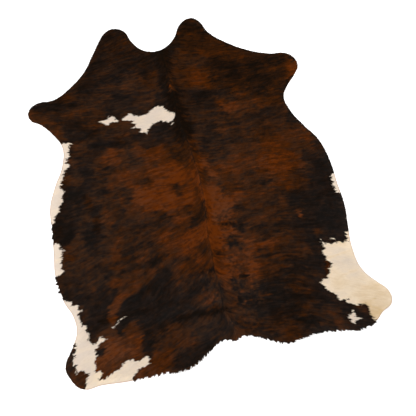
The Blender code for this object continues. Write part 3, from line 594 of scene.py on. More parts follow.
# -------- how the coat's colour varies
MIDDLE_TONE = 0.28  # BRINDLE spreads the levels about this one
CONTRAST = 0.16  # how strong strands and clumps are in black hair
LIGHT_CONTRAST = 0.145  # and how much more in light hair
LIGHT_TONE = 0.35  # hair from this level on counts as light
CLUMP_SHARE = 0.8  # how much the clumps show where the hair lies smooth
TUFT_CLUMPS = 1.3  # how much more where it is tousled
TUFT_STRANDS = 0.5  # and how much less the strands show there
CLOUD_TONE = 0.30  # bands are weaker in hair below this level
CLOUD_LEAST = 0.3  # but no weaker than this
# The pale lines are painted glints
PALE_FROM = 0.90  # the higher, the fewer and thinner the pale lines
PALE_LIFT = 2.5  # how pale they are
PALE_RANGE = (0.05, 0.5)  # the lighter the hair, the paler they are, from this level to that
WARMTH_LOW, WARMTH_SPREAD = 0.17, 0.92  # the warmth where the strokes give 0, and how far they spread it
SMOOTH_BESIDE = 0.110  # a patch's border is smoother where it is nearer to the parting than this
LEAST_RAGGED = 0.2  # and this ragged at the parting itself
OWN_TOOTH = 0.006  # how far one lock at the border differs from the next
LAY_LONG, LAY_WIDE, LAY_OWN = 0.055, 0.0085, 0.4  # cells of the fine grain, and how it differs lock by lock

# -------- leather and locks
LEATHER_PAST = 0.0005  # how far the leather's edge reaches past the rim where its hair is white
LEATHER_INSET = 0.0010  # how far it stays inside it elsewhere
FRINGE_INSET = 0.3  # and more by this share of the hair's reach past it
SHEET_CLEAR = 0.0152  # the sheet's inner points keep this far inside the rim
LEATHER_CHANCE = 0.3  # the leather's top looks like a lock with this chance
INSIDE_ONLY, WELD = 1, 1e-7  # the sheet is filled inside its edge only, and points this near are one
SHARP = math.radians(40)  # an edge with a sharper bend is shaded as a crease

HIDE_AREA = 3.2  # square metres, about
WAY_STEP, RIM_STEP = 0.004, 0.006  # how far apart the maps are read for the way of the hair and of the rim
ROOTS_INSIDE = 0.35  # roots keep inside the rim by this share of the hair's reach past it
LOCK_LENGTH, LOCK_HALF_WIDTH = (0.018, 0.028), (0.0016, 0.0026)  # least and most
LOCK_SLIM = 0.2  # the half width is at most this share of the length
LOCK_BELLY = 0.38  # a lock is widest at this share of its length
LOCK_TURN = 0.10  # how far single locks turn aside, in radians
TUFT_TURN = 1.6  # how much more where the hair is tousled
TUFT_SHORTER = 0.40  # and how much shorter the locks are there
FRINGE_PULL = 2.6  # how strongly the rim pulls the hair round at a fringe
FRINGE_FULL = 0.008  # a fringe of this reach pulls in full
ROOT_LIFT, TIP_LIFT = 0.05, (0.60, 1.00)  # heights over the leather, as shares of the coat's depth
SIDE_LIFT, SIDE_DROP = 0.30, 0.10  # a lock's sides are at this share of its tip's height, less the drop
COLOUR_AT = 0.6  # a lock takes the colour of the place at this share of its length
FRINGE_CREST = 1.4  # a fringe's reach in the middle of a clump, as a share of the usual one
FRINGE_NOTCH = -0.35  # and in the gap between two
LEAST_SLANT = 0.4  # the least part of a clump's slant that counts as straight out
WHITE_TRIM = 0.0022  # white hair stops this far short of the rim
TRIM_MARGIN = 0.006  # locks rooted nearer to the rim than the longest lock and this are trimmed
TRIM_UNEVEN = 0.3  # how far neighbours differ in where they are trimmed, in parts of a lock
SHORTEST = 0.12  # no lock is cut back to less than this share

# -------- hair in the material
GRAIN_TONE = 0.45  # how far the fine grain lightens or darkens dark hair
OWN_TONE = 0.18  # how far one dark lock is lighter than the next
SOIL = 0.35  # how far the cream hair is soiled
HAIR_ROUGH, OWN_ROUGH = 0.40, 0.15  # how rough the hair is, and how far one lock is rougher than the next
COOL_GLOSS, WARM_GLOSS_LOSS, MEAN_GLOSS = 0.11, 0.065, 0.072  # red brown hair is less glossy than cool
EDGE_ROUGH, EDGE_UNEVEN = 0.6, 0.25
CLOUD_SHARE, NAP_SHARE = 0.6, 0.4  # how much of the suede's colour follows broad clouds, and its nap


def linear(red, green, blue):
    """A colour given as it looks on a screen, 0 to 255, as the numbers that a shader takes."""
    return tuple(
        (part / 255 / 12.92) if part <= 10.31 else ((part / 255 + 0.055) / 1.055) ** 2.4
        for part in (red, green, blue)
    )


# The cool colours: duller browns with a painted greyish sheen mixed in, which lifts their blue
COOL_SHEEN_STOPS = (
    (0.00, linear(13, 9, 6)),
    (0.15, linear(26, 17.4, 13)),
    (0.35, linear(41, 25.6, 14.6)),
    (0.55, linear(56, 31.8, 15)),
    (0.75, linear(69, 36.5, 16.5)),
    (1.00, linear(90, 49, 24)),
)
WARM_STOPS = (
    (0.00, linear(15, 8, 3)),
    (0.15, linear(27, 14.4, 5.5)),
    (0.35, linear(42, 20.8, 5.5)),
    (0.55, linear(57, 26.8, 3.7)),
    (0.75, linear(71, 31, 4)),
    (1.00, linear(92, 40, 4)),
)
# the first stop is darker than the second: partly painted shade
CREAM_STOPS = (
    (0.0, linear(216, 201, 186)),
    (0.5, linear(232, 213, 187)),
    (1.0, linear(212, 184, 142)),
)
SOILED_CREAM = linear(178, 154, 124)
BARE_EDGE = linear(196, 168, 152)
PALE_EDGE_STOPS = ((0.3, linear(188, 160, 144)), (0.7, linear(218, 196, 182)))
DARK_EDGE_STOPS = ((0.3, linear(52, 38, 30)), (0.7, linear(84, 64, 52)))
SUEDE_STOPS = ((0.3, linear(160, 138, 118)), (0.7, linear(206, 186, 164)))
FLOOR_STOPS = ((0.3, (0.83, 0.83, 0.83)), (0.7, (0.85, 0.85, 0.85)))


# -------- shapes and maps
def soft_bump(share):
    """1 at the middle of a bump, falling smoothly to 0 at its edge, where share is 1, and 0 beyond it."""
    return np.where(share < 1.0, (1.0 - share * share) ** 2, 0.0)


def eased(share):
    """A share from 0 to 1 with a gentle start and end."""
    return share * share * (3 - 2 * share)


def from_line(points, start, end):
    """How far along a line each point is, 0 at its start and 1 at its end, and its distance to the line."""
    start, run = np.array(start), np.array(end) - np.array(start)
    length = float(run @ run)
    share = (points - start) @ run / max(length, 1e-12)
    near = start + np.clip(share, 0.0, 1.0)[:, None] * run
    return share, np.linalg.norm(points - near, axis=1)


def unit(ways):
    """The same ways, each with a length of 1."""
    return ways / np.linalg.norm(ways, axis=1)[:, None]


def quarter_turn(ways):
    """The same ways, turned a quarter to the left."""
    return np.stack((-ways[:, 1], ways[:, 0]), 1)


def floor_gap(points):
    """How far the underside stands off the floor at each point of the hide."""
    gap = np.zeros(len(points))
    for lift in LIFTS:
        away = np.linalg.norm(points - np.array((lift.across, lift.along)), axis=1)
        gap += lift.height * soft_bump(away / lift.reach)
    for ridge in RIDGES:
        start = np.array((ridge.from_across, ridge.from_along))
        run = np.array((ridge.to_across, ridge.to_along)) - start
        share = (points - start) @ run / float(run @ run)
        beside = np.linalg.norm(points - start - share[:, None] * run, axis=1)
        from_middle = np.abs(2.0 * share - 1.0)
        gap += ridge.height * soft_bump(from_middle**RIDGE_END_POWER) * soft_bump(beside / ridge.half_width)
    return gap


class Field:
    """Numbers worked out on a square grid over the hide and read anywhere in between."""

    def __init__(self, low, pitch, values):
        self.low, self.pitch, self.values = low, pitch, values

    def __call__(self, points):
        rows, columns = self.values.shape
        place = (points - self.low) / self.pitch
        # the last place still has a neighbour to its right and above it
        x = np.clip(place[:, 0], 0.0, columns - 1.001)
        y = np.clip(place[:, 1], 0.0, rows - 1.001)
        column, row = x.astype(int), y.astype(int)
        right, up = x - column, y - row
        at = self.values
        lower = at[row, column] * (1 - right) + at[row, column + 1] * right
        upper = at[row + 1, column] * (1 - right) + at[row + 1, column + 1] * right
        return lower * (1 - up) + upper * up


class Noise:
    """Smooth seeded noise from -1 to 1 in the plane, which repeats after 256 cells."""

    def __init__(self, seed, size=256):
        self.lattice = np.random.default_rng(seed).uniform(-1.0, 1.0, (size, size))
        self.size = size

    def __call__(self, x, y):
        column, row = np.floor(x).astype(int), np.floor(y).astype(int)
        right, up = x - column, y - row
        right, up = eased(right), eased(up)
        a, b = column % self.size, (column + 1) % self.size
        c, d = row % self.size, (row + 1) % self.size
        lower = self.lattice[c, a] * (1 - right) + self.lattice[c, b] * right
        upper = self.lattice[d, a] * (1 - right) + self.lattice[d, b] * right
        return lower * (1 - up) + upper * up


noises = {name: Noise(SEED + 1 + number) for number, name in enumerate(NOISES)}


def layered(layers, first, second, side=0.0):
    """The sum of some layers of noise, read at two coordinates. side is a shift for the half of the hide."""
    total = np.zeros(len(first))
    for layer in layers:
        x = first / layer.long + side + layer.shift
        y = second / layer.wide + layer.slip
        total += layer.strength * noises[layer.noise](x, y)
    return total


def inside_distance(points, loop):
    """Distance to a closed outline, above 0 inside it and below 0 outside it."""
    loop = np.asarray(loop, float)
    nearest = np.full(len(points), np.inf)
    crossings = np.zeros(len(points), int)
    for start, end in zip(loop, np.roll(loop, -1, axis=0)):
        _, away = from_line(points, start, end)
        nearest = np.minimum(nearest, away)
        rise = end[1] - start[1]
        if rise == 0.0:
            continue
        spans = (start[1] > points[:, 1]) != (end[1] > points[:, 1])
        meets = start[0] + (points[:, 1] - start[1]) / rise * (end[0] - start[0])
        crossings += spans & (points[:, 0] < meets)
    return np.where(crossings % 2 == 1, nearest, -nearest)


def rim_outline():
    """The cut line as a smooth closed line through the marks, as the model's solid has it."""
    data = bpy.data.curves.new("rim", "CURVE")
    data.dimensions = "2D"
    data.fill_mode = "NONE"
    data.resolution_u = RIM_STEPS
    spline = data.splines.new("BEZIER")
    spline.bezier_points.add(len(RIM) - 1)
    for point, mark in zip(spline.bezier_points, RIM):
        point.co = (mark[0], mark[1], 0.0)
        point.handle_left_type = "AUTO"
        point.handle_right_type = "AUTO"
    spline.use_cyclic_u = True
    curve = bpy.data.objects.new("rim", data)
    bpy.context.scene.collection.objects.link(curve)
    graph = bpy.context.evaluated_depsgraph_get()
    mesh = bpy.data.meshes.new_from_object(curve.evaluated_get(graph))
    places = np.empty(len(mesh.vertices) * 3, np.float32)
    mesh.vertices.foreach_get("co", places)
    bpy.data.objects.remove(curve, do_unlink=True)
    bpy.data.curves.remove(data)
    bpy.data.meshes.remove(mesh)
    return places.reshape(-1, 3)[:, :2].astype(float)


def lean_at(along, column, more_column):
    """The two leans of one half of the hide at these places along it."""
    table_along = np.array([row.along for row in LEANS])[::-1]
    lean = np.array([getattr(row, column) for row in LEANS])[::-1]
    more = np.array([getattr(row, more_column) for row in LEANS])[::-1]
    return np.interp(along, table_along, lean), np.interp(along, table_along, more)


def off_spine(points):
    """Distance from the parting along the spine, below 0 on the left."""
    across, along = np.array(SPINE_MARKS).T
    return points[:, 0] - np.interp(points[:, 1], along, across)


def hair_line(points):
    """A number that stays the same along the line in which the hair lies, in metres along the hide."""
    off = off_spine(points)
    out, left = np.abs(off), off < 0.0
    left_lean, left_more = lean_at(points[:, 1], "left", "left_more")
    right_lean, right_more = lean_at(points[:, 1], "right", "right_more")
    lean = np.where(left, left_lean, right_lean)
    more = np.where(left, left_more, right_more)
    sweep = SPINE_SWEEP * (1.0 - np.exp(-out / SPINE_REACH))
    beyond = np.maximum(out - FAR_OUT, 0.0)
    wave = layered(WAVES, points[:, 0], points[:, 1])
    return points[:, 1] + sweep + lean * out + more * beyond + wave


def slope(heights, points, step):
    """How much higher a map is a step to the right than to the left, and a step further along than back."""
    east = heights(points + (step, 0.0)) - heights(points - (step, 0.0))
    north = heights(points + (0.0, step)) - heights(points - (0.0, step))
    return east, north


def hair_way(points):
    """The way in which the hair lies at each point: a direction on the hide, root to tip."""
    east, north = slope(hair_line, points, WAY_STEP)
    way = np.stack((north, -east), 1)
    outward = np.where(off_spine(points) < 0.0, -1.0, 1.0)
    return unit(way * (np.sign(way[:, 0]) * outward)[:, None])


def rim_way(points):
    """The way straight out to the nearest rim."""
    way = -np.stack(slope(inside_rim, points, RIM_STEP), 1)
    return way / np.maximum(np.linalg.norm(way, axis=1), 1e-6)[:, None]


def hair_places(points):
    """The coordinates in which the strands are drawn: out from the spine, across the hair, and the side."""
    off = off_spine(points)
    return np.abs(off), hair_line(points), np.where(off < 0.0, 0.0, RIGHT_SIDE)


def stroked(points, base, rows):
    """The level at each point after all the strokes are laid."""
    level = np.full(len(points), base)
    for row in rows:
        stroke = Stroke(*(number / 1000 for number in row[:5]), row[5] / 100)
        start = (stroke.from_across, stroke.from_along)
        _, away = from_line(points, start, (stroke.to_across, stroke.to_along))
        share = np.clip((STROKE_REACH - away / stroke.half_width) / STROKE_FADE, 0.0, 1.0)
        level += (stroke.level - level) * eased(share)
    return level


def fringe_reach(points):
    """How far the hair reaches past the rim near each point."""
    reach = np.full(len(points), FRINGE_LEAST)
    for fringe in FRINGES:
        start = (fringe.from_across, fringe.from_along)
        _, away = from_line(points, start, (fringe.to_across, fringe.to_along))
        reach = np.maximum(reach, fringe.reach * soft_bump(away / fringe.half_width))
    return reach


def in_patches(points):
    """Distance to the border of the nearest patch, above 0 inside it."""
    loops = [np.array(marks) / 1000 for marks in PATCHES.values()]
    return np.max([inside_distance(points, loop) for loop in loops], axis=0)


def grid_points():
    """The places where the maps are worked out, and how many rows and columns of them there are."""
    x = np.arange(FIELD_LOW[0], FIELD_HIGH[0] + FIELD_PITCH, FIELD_PITCH)
    y = np.arange(FIELD_LOW[1], FIELD_HIGH[1] + FIELD_PITCH, FIELD_PITCH)
    grid = np.stack(np.meshgrid(x, y), -1)
    return grid.reshape(-1, 2), grid.shape[:2]


RIM_LINE = rim_outline()
GRID, GRID_SHAPE = grid_points()


def field_of(values):
    """A map made of its values at the points of GRID."""
    return Field(FIELD_LOW, FIELD_PITCH, values.reshape(GRID_SHAPE))


inside_rim = field_of(inside_distance(GRID, RIM_LINE))
gap_field = field_of(floor_gap(GRID))
tone_field = field_of(stroked(GRID, BASE_TONE, TONES))
warm_field = field_of(stroked(GRID, BASE_WARMTH, WARMTHS))
tint_field = field_of(stroked(GRID, BASE_TINT, TINTS))
tuft_field = field_of(stroked(GRID, 0.0, TUFTS))
white_field = field_of(in_patches(GRID))
fringe_field = field_of(fringe_reach(GRID))


def coat_depth(points):
    """The depth of the combed coat, thinner at the rim."""
    into = np.clip(inside_rim(points), 0.0, None) / RIM_TAPER
    return RIM_COAT + (COAT - RIM_COAT) * (1.0 - soft_bump(into))


# -------- materials
def new_material(name):
    material = bpy.data.materials.new(name)
    material.use_nodes = True
    tree = material.node_tree
    return material, tree, tree.nodes["Principled BSDF"]


def add_node(tree, kind, **settings):
    node = tree.nodes.new(kind)
    for name, value in settings.items():
        setattr(node, name, value)
    return node


def set_input(tree, socket, value):
    """Give a socket a number, a colour or a link."""
    if isinstance(value, (int, float)):
        socket.default_value = value
    elif isinstance(value, tuple):
        socket.default_value = (*value, 1.0)
    else:
        tree.links.new(value, socket)


def attribute(tree, name, output="Fac"):
    return add_node(tree, "ShaderNodeAttribute", attribute_name=name).outputs[output]


def object_place(tree):
    return add_node(tree, "ShaderNodeTexCoord").outputs["Object"]


def math_node(tree, operation, first, second, clamp=False):
    node = add_node(tree, "ShaderNodeMath", operation=operation, use_clamp=clamp)
    set_input(tree, node.inputs[0], first)
    set_input(tree, node.inputs[1], second)
    return node.outputs[0]


def add(tree, first, second, clamp=False):
    return math_node(tree, "ADD", first, second, clamp)


def less(tree, first, second):
    return math_node(tree, "SUBTRACT", first, second)


def times(tree, first, second, clamp=False):
    return math_node(tree, "MULTIPLY", first, second, clamp)


def ramp(tree, factor, stops):
    node = add_node(tree, "ShaderNodeValToRGB")
    elements = node.color_ramp.elements
    while len(elements) < len(stops):
        elements.new(0.5)
    for element, (place, colour) in zip(elements, stops):
        element.position = place
        element.color = (*colour, 1.0)
    tree.links.new(factor, node.inputs["Fac"])
    return node.outputs["Color"]


def grain_node(tree, place, scale, detail, rough):
    node = add_node(tree, "ShaderNodeTexNoise")
    node.inputs["Scale"].default_value = scale
    node.inputs["Detail"].default_value = detail
    node.inputs["Roughness"].default_value = rough
    tree.links.new(place, node.inputs["Vector"])
    return node.outputs["Fac"]


def mix(tree, factor, first, second):
    """Two colours mixed. On this node they are inputs 6 and 7, and the result is output 2."""
    node = add_node(tree, "ShaderNodeMix", data_type="RGBA")
    for number, value in ((0, factor), (6, first), (7, second)):
        set_input(tree, node.inputs[number], value)
    return node.outputs[2]


def add_bump(tree, shader, height, strength, distance):
    bump = add_node(tree, "ShaderNodeBump")
    bump.inputs["Strength"].default_value = strength
    bump.inputs["Distance"].default_value = distance
    tree.links.new(height, bump.inputs["Height"])
    tree.links.new(bump.outputs["Normal"], shader.inputs["Normal"])


def coat_material():
    """Short glossy hair. The numbers come with each lock, so a lock keeps one colour from root to tip."""
    material, tree, shader = new_material("coat")
    tone = attribute(tree, "tone")
    warmth = attribute(tree, "warmth")
    lay = attribute(tree, "lay", "Vector")
    chance = attribute(tree, "chance")

    grain = less(tree, grain_node(tree, lay, scale=1.0, detail=4.0, rough=0.7), 0.5)
    own = less(tree, chance, 0.5)
    tone = add(tree, tone, times(tree, grain, GRAIN_TONE))
    tone = add(tree, tone, times(tree, own, OWN_TONE), clamp=True)
    # cool hair gets a painted greyish sheen in its colour, warm red brown hair none
    dark = mix(tree, warmth, ramp(tree, tone, COOL_SHEEN_STOPS), ramp(tree, tone, WARM_STOPS))

    soil = times(tree, add(tree, own, grain), SOIL, clamp=True)
    cream = mix(tree, soil, ramp(tree, attribute(tree, "tint"), CREAM_STOPS), SOILED_CREAM)
    cream = mix(tree, attribute(tree, "bare"), cream, BARE_EDGE)
    colour = mix(tree, attribute(tree, "white"), dark, cream)
    tree.links.new(colour, shader.inputs["Base Color"])

    rough = add(tree, HAIR_ROUGH, times(tree, chance, OWN_ROUGH))
    tree.links.new(rough, shader.inputs["Roughness"])
    gloss = less(tree, COOL_GLOSS, times(tree, warmth, WARM_GLOSS_LOSS))
    shader.inputs["Specular IOR Level"].default_value = MEAN_GLOSS  # for a model without the nodes
    tree.links.new(gloss, shader.inputs["Specular IOR Level"])
    fine = grain_node(tree, lay, scale=9.0, detail=2.0, rough=0.6)
    add_bump(tree, shader, fine, strength=0.25, distance=0.0006)
    return material


def edge_material():
    """The cut edge: pinkish where the hair on it is white, grey brown elsewhere."""
    material, tree, shader = new_material("cut_edge")
    grain = grain_node(tree, object_place(tree), scale=160.0, detail=4.0, rough=0.6)
    pale = ramp(tree, grain, PALE_EDGE_STOPS)
    dark = ramp(tree, grain, DARK_EDGE_STOPS)
    colour = mix(tree, attribute(tree, "white"), dark, pale)
    tree.links.new(colour, shader.inputs["Base Color"])
    rough = add(tree, EDGE_ROUGH, times(tree, grain, EDGE_UNEVEN))
    tree.links.new(rough, shader.inputs["Roughness"])
    shader.inputs["Specular IOR Level"].default_value = 0.2
    add_bump(tree, shader, grain, strength=0.4, distance=0.0005)
    return material


def suede_material():
    """The flesh side: split suede, pale tan with a short nap."""
    material, tree, shader = new_material("suede")
    place = object_place(tree)
    cloud = grain_node(tree, place, scale=6.0, detail=4.0, rough=0.6)
    nap = grain_node(tree, place, scale=420.0, detail=2.0, rough=0.7)
    both = add(tree, times(tree, cloud, CLOUD_SHARE), times(tree, nap, NAP_SHARE))
    tree.links.new(ramp(tree, both, SUEDE_STOPS), shader.inputs["Base Color"])
    shader.inputs["Roughness"].default_value = 0.9
    shader.inputs["Specular IOR Level"].default_value = 0.1
    add_bump(tree, shader, nap, strength=0.5, distance=0.0006)
    return material


def floor_material():
    """A pale matt floor that glows a little, so that it shows almost no shadow."""
    material, tree, shader = new_material("floor")
    cloud = grain_node(tree, object_place(tree), scale=0.7, detail=2.0, rough=0.5)
    tree.links.new(ramp(tree, cloud, FLOOR_STOPS), shader.inputs["Base Color"])
    shader.inputs["Roughness"].default_value = 0.9
    shader.inputs["Specular IOR Level"].default_value = 0.1
    shader.inputs["Emission Color"].default_value = (1.0, 1.0, 1.0, 1.0)
    shader.inputs["Emission Strength"].default_value = FLOOR_GLOW
    return material


# -------- meshes
def mesh_from(name, places, triangles):
    mesh = bpy.data.meshes.new(name)
    mesh.vertices.add(len(places))
    mesh.vertices.foreach_set("co", places.astype(np.float32).ravel())
    mesh.loops.add(triangles.size)
    mesh.loops.foreach_set("vertex_index", triangles.astype(np.int32).ravel())
    mesh.polygons.add(len(triangles))
    mesh.polygons.foreach_set("loop_start", np.arange(0, triangles.size, 3, dtype=np.int32))
    mesh.polygons.foreach_set("use_smooth", np.ones(len(triangles), bool))
    mesh.update(calc_edges=True)
    return mesh


def link(name, data):
    """A new object in the scene."""
    made = bpy.data.objects.new(name, data)
    bpy.context.scene.collection.objects.link(made)
    return made


def dress(mesh, numbers, chance, bare):
    """Give each point of a mesh the numbers that the materials read."""
    tone, warmth, white, tint, lay = numbers
    names = ("tone", "warmth", "white", "tint", "chance", "bare")
    for name, values in zip(names, (tone, warmth, white, tint, chance, bare)):
        layer = mesh.attributes.new(name, "FLOAT", "POINT")
        layer.data.foreach_set("value", values.astype(np.float32))
    layer = mesh.attributes.new("lay", "FLOAT_VECTOR", "POINT")
    layer.data.foreach_set("vector", lay.astype(np.float32).ravel())


# -------- the coat's colour
def coat_tone(points, places, moved):
    """Light and dark: the strokes, whose borders run out along the hair, with strands and clumps on top."""
    out, line, side = places
    tuft = tuft_field(points)
    tone = MIDDLE_TONE + BRINDLE * (tone_field(moved) - MIDDLE_TONE)
    contrast = CONTRAST + LIGHT_CONTRAST * np.clip(tone / LIGHT_TONE, 0.0, 1.0)
    strands = layered(STRANDS, *places) * (1.0 - TUFT_STRANDS * tuft)
    tone += contrast * (strands + layered(CLUMPS, *points.T) * (CLUMP_SHARE + TUFT_CLUMPS * tuft))
    tone += layered(CLOUDS, *places) * np.clip(tone / CLOUD_TONE, CLOUD_LEAST, 1.0)
    # painted glints: thin pale lines along the hair
    thin = 1.0 - np.abs(layered(GLINT_LINES, *places))
    tone += PALE_LIFT * np.clip(thin - PALE_FROM, 0.0, 1.0) * np.clip(tone, *PALE_RANGE)
    width = PARTING_WIDTH + layered(PARTING_WAVER, line, side)
    return tone - PARTING_DARK * soft_bump(out / width)


def coat_warmth(points, places, moved):
    """Warm and cool. The cool end carries a painted greyish sheen in the hair's colour."""
    warmth = WARMTH_LOW + WARMTH_SPREAD * warm_field(moved) + layered(WARM_STRANDS, *places)
    return np.clip(warmth + layered(WARM_SPOTS, *points.T), 0.0, 1.0)


def coat_white(points, places, way, chance, tips):
    """1 for hair inside a patch and 0 for hair outside it."""
    ragged = np.clip(places[0] / SMOOTH_BESIDE, LEAST_RAGGED, 1.0)
    tooth = ragged * layered(TEETH, *places) + OWN_TOOTH * (chance - 0.5)
    edge = PATCH_INSET + ragged * layered(NICKS, *points.T)
    return (white_field(0.5 * (points + tips) + tooth[:, None] * way) > edge).astype(float)


def coat_numbers(points, chance, tips):
    """tone, warmth, white, tint and lay for hair that is seen at these points and ends at tips."""
    places = hair_places(points)
    out, line, side = places
    way = hair_way(points)
    moved = points + layered(WARP_ALONG, *places)[:, None] * way
    moved += layered(WARP_ACROSS, *places)[:, None] * quarter_turn(way)
    tone = coat_tone(points, places, moved)
    warmth = coat_warmth(points, places, moved)
    white = coat_white(points, places, way, chance, tips)
    tint = tint_field(points) + layered(TINT_CLOUDS, *points.T) + layered(TINT_STRANDS, *places)
    lay = np.stack((out / LAY_LONG + side, line / LAY_WIDE, LAY_OWN * chance), 1)
    return tone, warmth, white, np.clip(tint, 0.0, 1.0), lay


# -------- the leather
def cut_line():
    """The leather's edge in plan: the rim, a little past it under white hair and inside it elsewhere."""
    ahead = unit(np.roll(RIM_LINE, -1, axis=0) - np.roll(RIM_LINE, 1, axis=0))
    inward = -quarter_turn(ahead)
    white = white_field(RIM_LINE) > 0.0
    inset = np.where(white, -LEATHER_PAST, LEATHER_INSET + FRINGE_INSET * fringe_field(RIM_LINE))
    return RIM_LINE + inset[:, None] * inward


def sheet_plan():
    """The leather in plan: its points, first those on its edge, its triangles, its area, and how many points
    are on the edge."""
    edge = cut_line()
    columns = np.arange(FIELD_LOW[0], FIELD_HIGH[0], SHEET_PITCH)
    rows = np.arange(FIELD_LOW[1], FIELD_HIGH[1], SHEET_PITCH * math.sqrt(3) / 2)
    x, y = np.meshgrid(columns, rows)
    x = x + np.where(np.arange(len(rows)) % 2, SHEET_PITCH / 2, 0.0)[:, None]
    inner = np.stack((x.ravel(), y.ravel()), 1)
    inner = inner[inside_rim(inner) > SHEET_CLEAR]
    ring = [(i, (i + 1) % len(edge)) for i in range(len(edge))]
    marks = [Vector(point) for point in np.concatenate((edge, inner))]
    found = delaunay_2d_cdt(marks, ring, [], INSIDE_ONLY, WELD)
    flat = np.array([tuple(p) for p in found[0]])
    faces = np.array(found[2])
    a, b, c = (flat[faces[:, i]] for i in range(3))
    turn = (b[:, 0] - a[:, 0]) * (c[:, 1] - a[:, 1]) - (b[:, 1] - a[:, 1]) * (c[:, 0] - a[:, 0])
    faces = np.where((turn > 0)[:, None], faces, faces[:, ::-1])
    return flat, faces, float(np.abs(turn).sum() / 2), len(edge)


def leather_piece():
    """The tanned hide: a closed sheet, whose top is coloured like the hair on it."""
    flat, faces, area, edge_count = sheet_plan()
    count = len(flat)
    edges = np.concatenate((faces[:, (0, 1)], faces[:, (1, 2)], faces[:, (2, 0)]))
    known = {(int(p), int(q)) for p, q in edges}
    start, end = np.array([(p, q) for p, q in known if (q, p) not in known]).T
    below = np.column_stack((flat, gap_field(flat)))
    above = below + (0.0, 0.0, LEATHER)
    sides = np.concatenate(
        (
            np.stack((start, end + count, start + count), 1),
            np.stack((start, end, end + count), 1),
        )
    )
    triangles = np.concatenate((faces[:, ::-1], faces + count, sides))
    mesh = mesh_from("hide_leather", np.concatenate((below, above)), triangles)
    for material in (COAT_MATERIAL, SUEDE_MATERIAL, EDGE_MATERIAL):
        mesh.materials.append(material)
    slots = np.concatenate((np.full(len(faces), 1), np.full(len(faces), 0), np.full(len(sides), 2)))
    mesh.polygons.foreach_set("material_index", slots.astype(np.int32))
    mesh.set_sharp_from_angle(angle=SHARP)
    places = np.concatenate((flat, flat))
    chance = np.full(len(places), LEATHER_CHANCE)
    bare = np.tile((np.arange(count) < edge_count).astype(float), 2)
    dress(mesh, coat_numbers(places, chance, places), chance, bare)
    return link("hide_leather", mesh), area


# -------- the locks of hair
Locks = namedtuple("Locks", "root way length half_width chance lift")


def lock_table():
    """Where each lock is rooted, which way it lies, how long and wide it is, and how high its tip lies."""
    random = np.random.default_rng(SEED)
    pitch = math.sqrt(HIDE_AREA / LOCKS)
    columns = np.arange(FIELD_LOW[0], FIELD_HIGH[0], pitch)
    rows = np.arange(FIELD_LOW[1], FIELD_HIGH[1], pitch)
    x, y = np.meshgrid(columns, rows)
    root = np.stack((x.ravel(), y.ravel()), 1)
    root += random.uniform(-0.5, 0.5, root.shape) * pitch
    chance = random.uniform(0.0, 1.0, len(root))
    keep = inside_rim(root) > ROOTS_INSIDE * fringe_field(root)
    root, chance = root[keep], chance[keep]
    tousle = 1.0 + TUFT_TURN * tuft_field(root)
    turn = tousle * (layered(TURNS, *root.T) + random.normal(0.0, LOCK_TURN, len(root)))
    straight = hair_way(root)
    way = np.cos(turn)[:, None] * straight + np.sin(turn)[:, None] * quarter_turn(straight)
    length = random.uniform(*LOCK_LENGTH, len(root)) * (1.0 - TUFT_SHORTER * tuft_field(root))
    half_width = random.uniform(*LOCK_HALF_WIDTH, len(root))

    # at a fringe the hair turns towards the rim and hangs over it
    near = np.clip(1.0 - inside_rim(root) / FRINGE_TURN, 0.0, 1.0)
    near *= np.clip(fringe_field(root) / FRINGE_FULL, 0.0, 1.0)
    way = unit(way + (FRINGE_PULL * near)[:, None] * rim_way(root))
    length = trimmed(root, way, length, chance)
    half_width = np.minimum(half_width * (1.0 + near), LOCK_SLIM * length)
    return Locks(root, way, length, half_width, chance, random.uniform(*TIP_LIFT, len(root)))


def room_past(points):
    """How much further out the hair may reach: up to the rim, or to a fringe's ragged clumps."""
    depth = inside_rim(points)
    outward = rim_way(points)
    slant = outward + CLUMP_SLANT * hair_way(points)
    straight = np.maximum((slant * outward).sum(1), LEAST_SLANT)
    foot = points + slant * (depth / straight)[:, None]
    clump = np.abs(layered(FRINGE_CLUMPS, *foot.T))
    reach = fringe_field(foot) * np.maximum(FRINGE_CREST - CLUMP_DEPTH * clump, FRINGE_NOTCH)
    return depth + np.where(white_field(foot) > 0.0, -WHITE_TRIM, reach)


def trimmed(root, way, length, chance):
    """Lengths cut back to the rim, or at a fringe to the ragged line of its clumps."""
    share = np.ones(len(root))
    by_rim = np.flatnonzero(inside_rim(root) < length.max() + TRIM_MARGIN)
    for step in range(TRIM_STEPS, 0, -1):
        part = (step - TRIM_UNEVEN * chance[by_rim]) / TRIM_STEPS
        place = root[by_rim] + way[by_rim] * (length[by_rim] * part)[:, None]
        past = room_past(place) < 0.0
        share[by_rim[past]] = (step - 1) / TRIM_STEPS
    return length * np.clip(share, SHORTEST, 1.0)


def lock_points(locks):
    """The four points of each lock: root, right side, tip and left side."""
    aside = quarter_turn(locks.way) * locks.half_width[:, None]
    belly = locks.root + locks.way * (LOCK_BELLY * locks.length)[:, None]
    tip = locks.root + locks.way * locks.length[:, None]
    root_z = gap_field(locks.root) + LEATHER + ROOT_LIFT * coat_depth(locks.root)
    side_z = gap_field(belly) + LEATHER + (SIDE_LIFT * locks.lift - SIDE_DROP) * coat_depth(belly)
    tip_z = gap_field(tip) + LEATHER + locks.lift * coat_depth(tip)
    return np.stack(
        (
            np.column_stack((locks.root, root_z)),
            np.column_stack((belly - aside, side_z)),
            np.column_stack((tip, tip_z)),
            np.column_stack((belly + aside, side_z)),
        ),
        1,
    )


